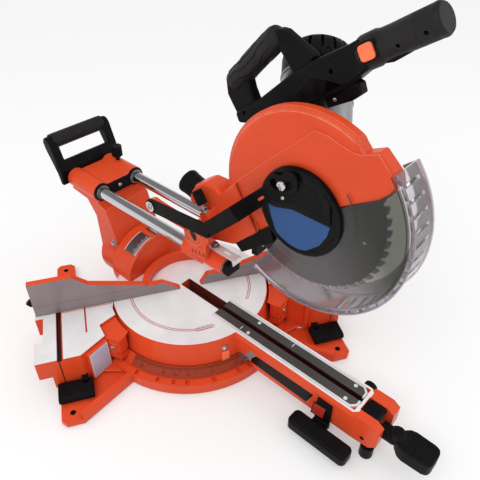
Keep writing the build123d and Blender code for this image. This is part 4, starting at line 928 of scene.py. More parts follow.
    @staticmethod
    def wire(points: Sequence[Point3], radius: float, closed: bool = False) -> Piece:
        """Round wire along some points.

        Args:
            points: the line.
            radius: radius of the wire.
            closed: whether the line is a loop.

        Returns:
            The new object.
        """
        Shop.clear()
        bpy.ops.curve.primitive_nurbs_path_add()
        piece = bpy.context.object
        piece.data.splines.clear()
        spline = piece.data.splines.new("POLY")
        spline.points.add(len(points) - 1)
        for place, point in zip(spline.points, points):
            place.co = (*point, 1.0)
        spline.use_cyclic_u = closed
        piece.data.bevel_depth = radius
        piece.data.bevel_resolution = 3
        piece.data.use_fill_caps = True
        bpy.ops.object.convert(target="MESH")
        return Shop.tidy(bpy.context.object)

    @staticmethod
    def text(body: str, size: float, height: float) -> Piece:
        """Raised characters, centred, lying in the XY plane.

        Args:
            body: the characters.
            size: their size.
            height: how far they stand up.

        Returns:
            The new object.
        """
        Shop.clear()
        bpy.ops.object.text_add()
        piece = bpy.context.object
        piece.data.body = body
        piece.data.size = size
        piece.data.extrude = height
        piece.data.align_x = "CENTER"
        piece.data.align_y = "CENTER"
        bpy.ops.object.convert(target="MESH")
        return Shop.tidy(bpy.context.object)

    @staticmethod
    def screw(radius: float, height: float) -> Piece:
        """Pan-head screw with a cross recess, its head standing up from the XY plane.

        Args:
            radius: radius of the head.
            height: height of the head.

        Returns:
            The new object.
        """
        r, h = radius, height
        head = Shop.lathe([(0.0, -0.4), (r, -0.4), (r, 0.35 * h), (0.86 * r, 0.75 * h),
                           (0.5 * r, 0.97 * h), (0.0, h)], 28)
        long, thin = 0.58 * r, 0.13 * r
        for x, y in ((long, thin), (thin, long)):
            Shop.cut(head, Shop.plan(box(-x, x, -y, y), 0.45 * h, 2.0 * h))
        return head

    @staticmethod
    def hex_bolt(radius: float, height: float) -> Piece:
        """Hexagon head on a round washer, standing up from the XY plane.

        Args:
            radius: distance of the head's corners.
            height: height of the head.

        Returns:
            The new object.
        """
        corners = [on_circle(radius, 60.0 * k) for k in range(6)]
        head = Shop.soften(Shop.plan(corners, 1.0, height), 0.5, 2)
        washer = Shop.lathe([(0.0, -0.3), (1.45 * radius, -0.3), (1.45 * radius, 0.7),
                             (1.35 * radius, 1.1), (0.0, 1.1)], 32)
        return Shop.join([head, washer])

    @staticmethod
    def modify(piece: Piece, kind: str, **settings: object) -> Piece:
        """Adds a modifier and applies it.

        Args:
            piece: the object.
            kind: Blender's name of the modifier.
            settings: its settings.

        Returns:
            The same object.
        """
        Shop.pick(piece)
        modifier = piece.modifiers.new(kind.lower(), kind)
        for key, value in settings.items():
            setattr(modifier, key, value)
        bpy.ops.object.modifier_apply(modifier=modifier.name)
        return piece

    @staticmethod
    def soften(piece: Piece, width: float, segments: int = 3, angle: float = 30.0) -> Piece:
        """Rounds the edges sharper than an angle in degrees."""
        return Shop.modify(piece, "BEVEL", width=width, segments=segments, limit_method="ANGLE",
                           angle_limit=math.radians(angle))

    @staticmethod
    def cut(piece: Piece, *tools: Piece) -> Piece:
        """Takes the shape of some tools out of a piece and throws the tools away.

        Args:
            piece: the object.
            tools: the cutters.

        Returns:
            The same object.
        """
        for tool in tools:
            Shop.modify(piece, "BOOLEAN", operation="DIFFERENCE", object=tool, solver="EXACT")
            bpy.data.objects.remove(tool)
        return piece

    @staticmethod
    def join(pieces: Sequence[Piece]) -> Piece:
        """Joins several objects into the first.

        Args:
            pieces: the objects.

        Returns:
            The first object.
        """
        if len(pieces) > 1:
            Shop.pick(*pieces)
            bpy.ops.object.join()
        return pieces[0]

    @staticmethod
    def move(piece: Piece, matrix: Matrix) -> Piece:
        """Moves a piece and leaves its object at the origin.

        Args:
            piece: the object.
            matrix: where it goes.

        Returns:
            The same object.
        """
        piece.matrix_world = matrix
        Shop.pick(piece)
        bpy.ops.object.transform_apply(location=True, rotation=True, scale=True)
        return piece

    @staticmethod
    def copies(piece: Piece, places: Iterable[Matrix]) -> Piece:
        """Copies a piece to several places and joins the copies.

        Args:
            piece: the pattern, which is used up.
            places: one matrix for each copy.

        Returns:
            All the copies as one object.
        """
        made = []
        for matrix in places:
            copy = piece.copy()
            copy.data = piece.data.copy()
            bpy.context.scene.collection.objects.link(copy)
            made.append(Shop.move(copy, matrix))
        bpy.data.objects.remove(piece)
        return Shop.join(made)


def on_circle(radius: float, degrees: float) -> Point2:
    """Point on a circle about the origin."""
    a = math.radians(degrees)
    return (radius * math.cos(a), radius * math.sin(a))


def box(x0: float, x1: float, y0: float, y1: float) -> Outline:
    """Outline of a rectangle."""
    return [(x0, y0), (x1, y0), (x1, y1), (x0, y1)]


def band(points: Outline, width: float, steps: int = 8) -> Outline:
    """Outline of a bar of even width along a bent line, with round ends.

    Args:
        points: middle line of the bar.
        width: full width.
        steps: corners of each round end.

    Returns:
        The closed outline.
    """
    half = width / 2
    line = [Vector(p) for p in points]
    runs = [(b - a).normalized() for a, b in zip(line, line[1:])]
    left, right, tip, root = [], [], [], []
    for k, point in enumerate(line):
        first, last = runs[max(k - 1, 0)], runs[min(k, len(runs) - 1)]
        middle = (first + last).normalized()
        normal = Vector((-middle.y, middle.x)) * (half / max(0.3, middle.dot(first)))
        left.append(point + normal)
        right.append(point - normal)
    for centre, run, sign, ends in ((line[-1], runs[-1], 1.0, tip), (line[0], runs[0], -1.0, root)):
        start = math.atan2(run.y, run.x) + (math.pi / 2 if sign > 0 else -math.pi / 2)
        for j in range(1, steps):
            a = start - math.pi * j / steps
            ends.append(centre + Vector((math.cos(a), math.sin(a))) * half)
    closed = left + tip + right[::-1] + root
    return [(p.x, p.y) for p in closed]


class SubAssembly:
    """Pieces that share a frame and, as a rule, the body that carries them."""

    home: ClassVar[Matrix]
    carrier: ClassVar[Body]

    def add(self, piece: Piece, name: str, finish: Finish, replaces: Sequence[str] = (),
            place: Optional[Matrix] = None, body: Optional[Body] = None,
            smooth: float = 35.0) -> None:
        """Brings a finished piece to its place, dresses it and hands it to its body.

        Args:
            piece: the modelled object, in millimetres of its local frame.
            name: the piece's name.
            finish: the surface finish.
            replaces: solids that the piece stands for.
            place: matrix of the local frame, where it is not the group's own.
            body: the moving group that carries the piece, where it is not the usual one.
            smooth: largest angle in degrees that is shaded smooth.

        Raises:
            ValueError: the piece has no faces.
        """
        if not piece.data.polygons:
            raise ValueError(f"{name} has no faces")
        body = body or self.carrier
        Shop.move(piece, self.home if place is None else place)
        bpy.ops.object.shade_smooth_by_angle(angle=math.radians(smooth))
        Shop.modify(piece, "WEIGHTED_NORMAL", keep_sharp=True)
        piece.name = name
        piece.data.name = name
        piece.data.materials.clear()
        piece.data.materials.append(finish.material())
        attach(piece, body.value)
        if replaces:
            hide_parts(*replaces)
        LOG.info("%s rides on %s: %d faces", name, body.value, len(piece.data.polygons))


class Along(Enum):
    """Directions that a turned piece can point along, as a turn in degrees about an axis."""

    UP = (0.0, "X")
    AHEAD = (90.0, "Y")
    RIGHT = (-90.0, "X")
    LEFT = (90.0, "X")


def turned(degrees: float, axis: str) -> Matrix:
    """Turn about one axis of a frame."""
    return Matrix.Rotation(math.radians(degrees), 4, axis)


def at(forward: float, right: float, up: float, along: Along = Along.UP) -> Matrix:
    """Place of a turned piece with its axis along one direction of the frame."""
    degrees, axis = along.value
    return Matrix.Translation((forward, right, up)) @ turned(degrees, axis)


ON_ARBOR = at(0.0, 0.0, 0.0, Along.RIGHT)


def rounded_box(x0: float, x1: float, y0: float, y1: float, radius: float,
                steps: int = 4) -> Outline:
    """Outline of a rectangle with round corners.

    Args:
        x0: left side.
        x1: right side.
        y0: lower side.
        y1: upper side.
        radius: radius of the corners.
        steps: faces of each corner.

    Returns:
        The closed outline.
    """
    outline = []
    corners = ((x1 - radius, y1 - radius, 0), (x0 + radius, y1 - radius, 90),
               (x0 + radius, y0 + radius, 180), (x1 - radius, y0 + radius, 270))
    for x, y, start in corners:
        for k in range(steps + 1):
            dx, dy = on_circle(radius, start + 90 * k / steps)
            outline.append((x + dx, y + dy))
    return outline


def lobes(outer: float, inner: float, count: int) -> Outline:
    """Outline of a ribbed knob, by the radius of the ribs and the radius between them."""
    radii = (outer, outer, inner, inner)
    return [on_circle(radii[k % 4], 90.0 * k / count) for k in range(4 * count)]


@dataclass
class Hood(SubAssembly):
    """Upper guard: hood, front block, raised panel, rear arm, dust elbow, port and depth stop."""

    home = HEAD
    carrier = Body.HEAD

    radius: float = 141.0
    left: float = -8.5
    right: float = 12.0
    room: float = 135.0
    arm_half: float = 18.0
    pivot: float = -224.0
    port_root: Point2 = (-206.0, 62.0)
    port_pitch: float = math.radians(48.0)
    stop: Point2 = (-172.0, -31.0)
    stop_radius: float = 4.0
    thread_from: float = 12.0
    thread_to: float = 46.5
    thread_pitch: float = 1.5
    hub_hole: Point3 = (31.0, -20.0, -4.0)
    shaft_hole: Point3 = (16.0, 5.0, 20.0)
    hub_room: Point3 = (47.5, -20.0, -5.0)
    guard_slot: Point3 = (161.0, -13.2, -10.1)

    def build(self) -> None:
        """Models and dresses the upper guard."""
        self.shell()
        self.nose()
        self.panel()
        self.arm()
        self.elbow()
        self.port()
        self.stop_screw()

    def drum(self, radius: float, p0: float, p1: float) -> Piece:
        """Plain drum on the arbor axis, as a cutter."""
        return Shop.move(Shop.bar(radius, p0, p1, 96), ON_ARBOR)

    def hollow(self) -> Piece:
        """Room for the blade, as a cutter."""
        return self.drum(self.room, self.left + 3.0, self.right - 3.0)

    def shell(self) -> None:
        """Round hood with its bevelled rim."""
        r = self.radius
        profile = [(0, self.left), (r - 12.5, self.left), (r - 11, self.left + 0.7),
                   (r - 4.6, self.left + 3.4), (r - 3.4, self.left + 5.4),
                   (r - 0.5, self.left + 6.6), (r, self.left + 7.6), (r, self.right - 2.5),
                   (r - 2.5, self.right), (0, self.right)]
        shell = Shop.move(Shop.lathe(profile, 128), ON_ARBOR)
        below = Shop.side([(-170, -4), (-170, -170), (170, -170), (170, -4)], -60, 60)
        ahead = Shop.side([(121, -170), (121, 170), (240, 170), (240, -170)], -60, 60)
        Shop.cut(shell, self.hollow(), below, ahead, self.drum(*self.hub_hole),
                 self.drum(*self.shaft_hole))
        self.add(shell, "hood_shell", PAINT, replaces=("upper_guard",))

    def nose(self) -> None:
        """Front block and the web under the round hood."""
        outline = [(60, -4), (60, 56), (110, 52), (120, 53.5), (144, 50), (152, 22), (148, 4),
                   (134, -4)]
        nose = Shop.slab(outline, self.left - 0.3, self.right + 0.3, 2.6, 3, 20.0)
        Shop.cut(nose, self.hollow())
        brow = Shop.slab([(117.5, 50), (117.5, 67.6), (121.4, 65), (124, 50)], self.left + 0.4,
                         self.right - 0.2, 0.8, 2)
        self.add(Shop.join([nose, brow]), "hood_nose", PAINT)
        web = Shop.slab([(-40, 84), (-101, 62), (-101, -20), (-60, -12), (-40, -6)],
                        self.left + 0.5, self.right - 0.5, 1.5, 2)
        Shop.cut(web, self.hollow())
        self.add(web, "hood_web", PAINT)

    def panel(self) -> None:
        """Raised panel that carries the line of the rear arm over the hood."""
        outline = [(-104, -3.6), (-104, 61.6), (-23, 78.5), (71.5, 96.5), (88, 84), (101, 69),
                   (112, 58), (121, 53), (143, 49), (149, 24), (145, 6), (132, -3.6)]
        panel = Shop.slab(outline, self.left - 1.6, self.left + 1.0, 0.5, 2, 20.0)
        Shop.cut(panel, self.drum(*self.hub_room))
        self.add(panel, "hood_panel", PAINT)

    def arm(self) -> None:
        """Rear arm and the knuckle of the chop pivot."""
        outline = [(-100, 61), (-169, 44), (-214, 18), (-214, -18), (-163, -33), (-100, -20)]
        arm = Shop.slab(outline, -self.arm_half, self.arm_half, 3.5, 4, 20.0)
        Shop.cut(arm, self.hollow(), self.drum(*self.guard_slot))
        self.add(arm, "hood_arm", PAINT)
        knuckle = Shop.lathe([(7.1, -22), (17.4, -22), (19, -20.4), (19, 20.4), (17.4, 22),
                              (7.1, 22)], 48)
        Shop.move(knuckle, at(self.pivot, 0.0, 0.0, Along.RIGHT))
        self.add(knuckle, "chop_knuckle", PAINT)

    def port_place(self) -> Matrix:
        """Frame of the dust port: Z outwards along its axis.

        Returns:
            The matrix of the frame.
        """
        along = Vector((-math.cos(self.port_pitch), 0.0, math.sin(self.port_pitch)))
        turn = along.to_track_quat("Z", "Y").to_matrix().to_4x4()
        return Matrix.Translation((self.port_root[0], 0.0, self.port_root[1])) @ turn

    def elbow(self) -> None:
        """Dust elbow with its collar, and the lug of the depth stop."""
        outline = [(-137, 46), (-142, 62), (-165, 76), (-190, 76), (-206, 62), (-178, 30)]
        elbow = Shop.slab(outline, -self.arm_half, self.arm_half, 5.0, 4, 20.0)
        bore = Shop.bar(15.1, -20, 12, 48)
        Shop.cut(elbow, Shop.move(bore, self.port_place()))
        self.add(elbow, "dust_elbow", PAINT)
        collar = Shop.lathe([(15, -20), (15, 0), (20, 0), (22.4, -1.5), (23, -4), (23, -9),
                             (21.4, -12), (20.6, -46), (0, -46), (0, -20)], 48)
        Shop.move(collar, self.port_place())
        self.add(collar, "dust_collar", PAINT)
        u, p = self.stop
        lug = Shop.plan(rounded_box(u - 12, u + 12, p - 8, -self.arm_half + 3, 5.0), 18, 34)
        Shop.soften(lug, 1.5, 2)
        Shop.cut(lug, Shop.move(Shop.bar(self.stop_radius + 0.2, 0, 60, 32), at(u, p, 0)))
        self.add(lug, "stop_lug", PAINT)

    def port(self) -> None:
        """Black dust port."""
        port = Shop.lathe([(15, 0), (20.2, 0), (20.2, 2.5), (19.2, 3.5), (19.6, 21), (20.3, 22.5),
                           (20.3, 28), (19.2, 30), (16, 30), (15, 29)], 48)
        Shop.move(port, self.port_place())
        self.add(port, "dust_port_sleeve", BLACK, replaces=("dust_port",))

    def stop_screw(self) -> None:
        """Depth stop screw: ribbed knob, thread and lock nut."""
        place = HEAD @ at(*self.stop, 0.0)
        knob = Shop.soften(Shop.plan(lobes(8.2, 6.9, 12), 46, 69.5), 0.5, 2)
        self.add(knob, "stop_knob", BLACK, replaces=("depth_stop_screw",), place=place,
                 body=Body.STOP_SCREW)
        r = self.stop_radius
        z0, z1, pitch = self.thread_from, self.thread_to, self.thread_pitch
        thread = [(0.0, z0)]
        for k in range(22):
            z = z0 + 0.5 + pitch * k
            thread += [(r - 0.5, z), (r, z + pitch / 2)]
        thread += [(r - 0.5, z1), (0.0, z1)]
        nut = Shop.hex_bolt(7.4, 5.6)
        Shop.move(nut, at(0.0, 0.0, 34.5))
        self.add(Shop.join([Shop.lathe(thread, 24), nut]), "stop_thread", CHROME, place=place,
                 body=Body.STOP_SCREW)


@dataclass
class BladeSet(SubAssembly):
    """Saw blade with its tips, clear lower guard beads, arbor cover and its screws."""

    home = HEAD
    carrier = Body.GUARD

    radius: float = 127.0
    thick: float = 2.4
    teeth: int = 48
    face: float = -17.2
    guard: Point2 = (-8.0, 152.0)

    def build(self) -> None:
        """Models and dresses everything round the arbor."""
        self.blade()
        self.tips()
        self.hub()
        self.hub_plates()
        self.hub_screws()
        self.beads()

    def around(self, share: float, radius: float) -> Point2:
        """Point on the blade at a share of the tooth pitch."""
        return on_circle(radius, -360.0 * share / self.teeth)

    def blade(self) -> None:
        """Toothed disc with its bore and expansion slots."""
        r = self.radius
        outline = [self.around(k + share, radius) for k in range(self.teeth)
                   for share, radius in ((0.0, r), (0.55, r - 2.2), (0.8, r - 8), (0.97, r - 7))]
        half = self.thick / 2
        disc = Shop.side(outline, -half, half)
        bore = Shop.move(Shop.bar(8.1, -5, 5, 48), ON_ARBOR)
        slot = Shop.side(band([(94, 0), (104, 2.5), (113, 1.0), (122, 0.5)], 1.3), -5, 5)
        eye = Shop.move(Shop.bar(2.6, -5, 5, 20), at(93.0, 0.0, 0.0, Along.RIGHT))
        turns = [turned(40 + 72 * k, "Y") for k in range(5)]
        Shop.cut(disc, bore, Shop.copies(slot, turns), Shop.copies(eye, turns))
        self.add(disc, "blade_disc", BLADE, replaces=("blade",), body=Body.BLADE, smooth=20.0)

    def tips(self) -> None:
        """Carbide tips on the teeth."""
        r = self.radius
        outline = [self.around(-0.05, r + 0.2), self.around(0.3, r - 0.7),
                   self.around(0.22, r - 4.6), self.around(-0.05, r - 6.0)]
        tip = Shop.slab(outline, -self.thick / 2 - 0.4, self.thick / 2 + 0.4, 0.15, 1)
        turns = [turned(360.0 * k / self.teeth, "Y") for k in range(self.teeth)]
        tips = Shop.copies(tip, turns)
        self.add(tips, "blade_tips", CARBIDE, body=Body.BLADE)

    def hub(self) -> None:
        """Dished arbor cover with its raised rim and hidden ring."""
        f = self.face
        profile = [(0, f), (55, f), (57, f - 0.3), (58.6, f - 2.0), (61, f - 2.9), (64, f - 2.2),
                   (65.6, f - 0.4), (66, f + 2), (66, -12.9), (46, -12.9), (46, -8.9), (40, -8.9),
                   (40, -12.9), (0, -12.9)]
        hub = Shop.move(Shop.lathe(profile, 96), ON_ARBOR)
        self.add(hub, "arbor_cover", SATIN, replaces=("guard_hub",))

    def hub_plates(self) -> None:
        """Raised angular plate and the blue panel below it."""
        upper = [(-50, 36), (-31, 54), (7, 64), (32, 56), (54, 32), (60, 6), (44, -26), (-6, 7),
                 (-34, 15), (-48, 24)]
        plate = Shop.slab(upper, self.face - 3.2, self.face + 0.5, 1.6, 3, 15.0)
        self.add(plate, "cover_plate", SATIN)
        inner = [(-38, 30), (-26, 42), (4, 50), (26, 43), (43, 24), (46, 6), (38, -12), (0, 15),
                 (-28, 22)]
        raised = Shop.slab(inner, self.face - 4.2, self.face - 2.0, 0.8, 2, 15.0)
        self.add(raised, "cover_pad", BLACK)
        lower = [(-46, 27), (-33, 19), (-6, 11), (46, -23), (31, -39), (12, -50), (-14.5, -55),
                 (-35, -51), (-50, -40.5), (-55, -28), (-54, -12)]
        blue = Shop.slab(lower, self.face - 1.2, self.face + 0.4, 0.6, 2, 15.0)
        self.add(blue, "blue_panel", BLUE)

    def hub_screws(self) -> None:
        """Link screw on the stud and the small screws of the cover."""
        screw = Shop.screw(7.2, 3.6)
        stud = Shop.bar(5, -9, 0, 32)
        Shop.move(Shop.join([screw, stud]), at(0.0, -26.5, 44.0, Along.LEFT))
        self.add(screw, "link_screw", CHROME)
        small = Shop.copies(Shop.screw(3.4, 1.8), [at(u, self.face - p, w, Along.LEFT)
                                                   for u, p, w in ((-12, 4.2, 27), (-42, 3.2, 33))])
        self.add(small, "cover_screws", CHROME)

    def beads(self) -> None:
        """Beads and steps moulded on the clear guard."""
        start, end = self.guard
        pieces = []
        for r0, r1, p0, p1 in ((158.0, 161.4, -14.2, -12.0), (158.0, 161.4, 34.8, 37.0),
                               (84.0, 86.0, -13.6, -12.8), (150.5, 152.0, -13.7, -12.8)):
            middle = (p0 + p1) / 2
            profile = [(r0, p0 + 0.2), (r0 + 0.4, p0), (r1 - 0.4, p0), (r1, middle), (r1 - 0.4, p1),
                       (r0, p1)]
            pieces.append(Shop.move(Shop.arc(profile, start, end, 80), ON_ARBOR))
        self.add(Shop.join(pieces), "guard_beads", CLEAR)


@dataclass
class Motor(SubAssembly):
    """Motor end cap with its vents and brush cap, and the band on the can."""

    home = MOTOR
    carrier = Body.HEAD

    radius: float = 51.0
    cap_from: float = 184.0
    cap_to: float = 232.0
    vents: int = 18
    bands_at: Point3 = (99.0, 141.0, 179.0)

    def build(self) -> None:
        """Models and dresses the motor's end."""
        self.cap()
        self.bands()
        self.brush_cap()

    def cap(self) -> None:
        """Domed cap with a comb of vents."""
        r, z0, z1 = self.radius, self.cap_from, self.cap_to
        profile = [(0, z1), (24, z1), (36, z1 - 2.5), (45, z1 - 9), (49.5, z1 - 18), (r, z1 - 26),
                   (r, z0), (r - 5, z0), (r - 5, z1 - 18), (r - 14, z1 - 7), (0, z1 - 6)]
        cap = Shop.lathe(profile, 72)
        vent = Shop.plan(rounded_box(30, 60, -2.3, 2.3, 1.0), z1 - 30, z1 - 5)
        turns = [turned(360.0 * k / self.vents, "Z") for k in range(self.vents)]
        Shop.cut(cap, Shop.copies(vent, turns))
        inner = Shop.lathe([(0, z1 - 10), (34, z1 - 10), (42, z1 - 20), (42, z0 + 2), (0, z0 + 2)],
                           48)
        self.add(Shop.join([cap, inner]), "motor_end_cap", BLACK, replaces=("motor_cap",))

    def bands(self) -> None:
        """Raised bands at both ends of the can."""
        bands = []
        for z in self.bands_at:
            bands.append(Shop.lathe([(50, z), (52.0, z + 0.6), (52.2, z + 2), (52.0, z + 3.4),
                                     (50, z + 4)], 72))
        self.add(Shop.join(bands), "motor_bands", ALUMINIUM)

    def brush_cap(self) -> None:
        """Round brush caps on both sides of the end cap."""
        cap = Shop.lathe([(0, 0), (9.5, 0), (9.5, 4), (8, 5.5), (6.4, 5.5), (6.4, 4), (0, 4)], 36)
        Shop.cut(cap, Shop.plan(box(-7, 7, -1, 1), 3.0, 8.0))
        Shop.move(cap, at(self.radius - 2.5, 0.0, self.cap_from + 11.0, Along.AHEAD))
        caps = Shop.copies(cap, [turned(a, "Z") for a in (32, 212)])
        self.add(caps, "brush_caps", BLACK)


@dataclass
class MainHandle(SubAssembly):
    """Main handle: beam, carry loop with its rubber grip, and the turned hand grip."""

    home = HEAD
    carrier = Body.HEAD

    left: float = 38.0
    right: float = 70.0
    grip_radius: float = 18.5
    grip_up: float = 153.0
    grip_start: float = 128.0
    grip_end: float = 229.0
    motor_radius: float = 51.3
    sleeve_radius: float = 16.5
    screws: tuple[Point2, ...] = ((-80.0, 146.0), (88.0, 150.0))
    guard_sweep: float = 162.5
    grip_pits: tuple[Point2, ...] = ((178.2, 146.7), (211.5, 147.4))
    lock_off: Point2 = (143.0, 154.0)

    @property
    def middle(self) -> float:
        """Sideways middle of the handle."""
        return (self.left + self.right) / 2

    def build(self) -> None:
        """Models and dresses the handle."""
        self.beam()
        self.loop()
        self.carry_grip()
        self.grip()
        self.lock_button()
        self.chin()

    def motor_cutter(self) -> Piece:
        """Bar the size of the motor, in the frame of the head."""
        bar = Shop.bar(self.motor_radius, 0.0, 262.0, 64)
        return Shop.move(bar, HEAD.inverted() @ MOTOR)

    def pits(self, places: Sequence[Point2], radius: float) -> Piece:
        """Round pits over the handle screws, as a cutter."""
        pit = Shop.bar(radius, -12, 5.4, 24)
        return Shop.copies(pit, [at(u, self.left, w, Along.RIGHT) for u, w in places])

    def beam(self) -> None:
        """Long beam over the hood with its raised side panel."""
        outline = [(-100, 136), (-98, 152), (-56, 153), (22, 167), (60, 171), (121, 170),
                   (136, 171), (136, 135), (126, 133), (109, 128), (60, 122), (-60, 122)]
        beam = Shop.slab(outline, self.left, self.right, 4.5, 4)
        Shop.cut(beam, self.pits(self.screws, 3.4), self.motor_cutter())
        self.add(beam, "handle_beam", BLACK, replaces=("handle_left", "handle_right"))
        lower = [(20, 142.6), (62.5, 158), (100, 162.5), (134, 165), (135, 141), (124, 136),
                 (108, 131), (60, 126), (27, 133)]
        panel = Shop.slab(lower, self.left - 2.4, self.left + 1, 0.9, 2)
        sweep = Shop.bar(self.guard_sweep, 20, self.left, 96)
        Shop.cut(panel, self.pits(self.screws, 3.4), Shop.move(sweep, ON_ARBOR))
        self.add(panel, "handle_panel", BLACK)

    def loop(self) -> None:
        """Carry loop with its rear leg and front strut."""
        outer = [(-101, 138), (-104, 180), (-94, 202), (8, 226), (28, 225), (38, 218), (66, 174),
                 (20, 150)]
        inner = [(-57, 154), (-56, 172), (-53, 185), (2, 197), (12, 201), (18, 203), (24, 169),
                 (-20, 158)]
        loop = Shop.ring(outer, inner, self.left + 6, self.right - 8)
        Shop.soften(loop, 6.0, 4)
        Shop.cut(loop, self.motor_cutter())
        self.add(loop, "carry_loop", BLACK)

    def sleeve_place(self) -> Matrix:
        """Frame of the carry grip: Z along the top bar of the loop.

        Returns:
            The matrix of the frame.
        """
        start = Vector((-88.0, self.middle - 1.0, 191.0))
        along = Vector((24.0, self.middle - 1.0, 219.0)) - start
        return Matrix.Translation(start) @ along.to_track_quat("Z", "Y").to_matrix().to_4x4()

    def carry_grip(self) -> None:
        """Rubber sleeve on the top bar of the loop, with its moulded contour lines."""
        r = self.sleeve_radius
        sleeve = Shop.lathe([(0, 0), (13, 0), (15.5, 3), (r, 12), (r - 0.3, 50), (r, 96),
                             (15.8, 108), (13.5, 114), (8, 117.5), (0, 118)], 40)
        Shop.soften(sleeve, 1.2, 2, 25.0)
        Shop.move(sleeve, self.sleeve_place())
        self.add(sleeve, "carry_grip", GRIP_RUBBER)
        line = [(10, 0), (26, 0), (40, 20), (70, 20), (84, 4), (102, 4)]
        path = []
        for (z0, a0), (z1, a1) in zip(line, line[1:]):
            for k in range(6):
                a = math.radians(a0 + (a1 - a0) * k / 6)
                path.append((r * math.cos(a), r * math.sin(a), z0 + (z1 - z0) * k / 6))
        lines = Shop.copies(Shop.wire(path, 0.75), [turned(40 * k, "Z") for k in range(9)])
        Shop.move(lines, self.sleeve_place())
        self.add(lines, "grip_lines", BLACK)

    def grip(self) -> None:
        """Turned hand grip with its ring grooves and end cap."""
        r = self.grip_radius
        start, end = self.grip_start, self.grip_end
        profile: list[Point2] = [(0, start), (r + 1.0, start), (r + 2.0, start + 3),
                                 (r + 2.0, start + 22), (r + 0.3, start + 27),
                                 (r - 0.2, start + 40)]
        for k in range(8):
            z = start + 71 + 2.7 * k
            profile += [(r, z), (r - 0.9, z + 0.5), (r - 0.9, z + 1.3), (r, z + 1.8)]
        profile += [(r + 0.3, end - 5), (r - 0.2, end - 3), (r - 2.5, end), (0, end)]
        grip = Shop.lathe(profile, 56)
        Shop.move(grip, at(0.0, self.middle, self.grip_up, Along.AHEAD))
        slot = Shop.side(box(144, 184, 110, 150), self.middle - 6.4, self.middle + 6.4)
        pocket = Shop.side(box(133, 153, 144, 164), self.left - 9, self.left + 6)
        Shop.cut(grip, slot, pocket, self.pits(self.grip_pits, 2.5))
        self.add(grip, "hand_grip", GRIP_RUBBER)

    def lock_button(self) -> None:
        """Rounded lock-off button with its dark collar."""
        u, w = self.lock_off
        face = self.middle - self.grip_radius - 4.5
        button = Shop.side(rounded_box(u - 9.6, u + 9.6, w - 9.6, w + 9.6, 4.5), face, face + 9.0)
        Shop.soften(button, 2.2, 4)
        self.add(button, "lock_off_cap", ORANGE_PLASTIC, replaces=("lock_off_button",),
                 body=Body.LOCK_OFF)
        collar = Shop.ring(rounded_box(u - 12.4, u + 12.4, w - 12.4, w + 12.4, 6.0),
                           rounded_box(u - 10, u + 10, w - 10, w + 10, 4.7), face + 2.6, face + 9.0)
        Shop.soften(collar, 0.8, 2)
        self.add(collar, "lock_off_collar", BLACK)

    def chin(self) -> None:
        """Block under the beam that carries the handle on the hood, with its screw."""
        outline = [(56, 110), (94, 108), (110, 111), (112, 124), (106, 130), (56, 130)]
        chin = Shop.slab(outline, self.middle - 8, self.right - 8, 2.0, 3)
        Shop.cut(chin, self.motor_cutter())
        self.add(chin, "handle_chin", BLACK)
        screw = Shop.move(Shop.screw(2.8, 1.8), at(72.0, self.middle - 8, 117.0, Along.LEFT))
        self.add(screw, "chin_screw", CHROME)


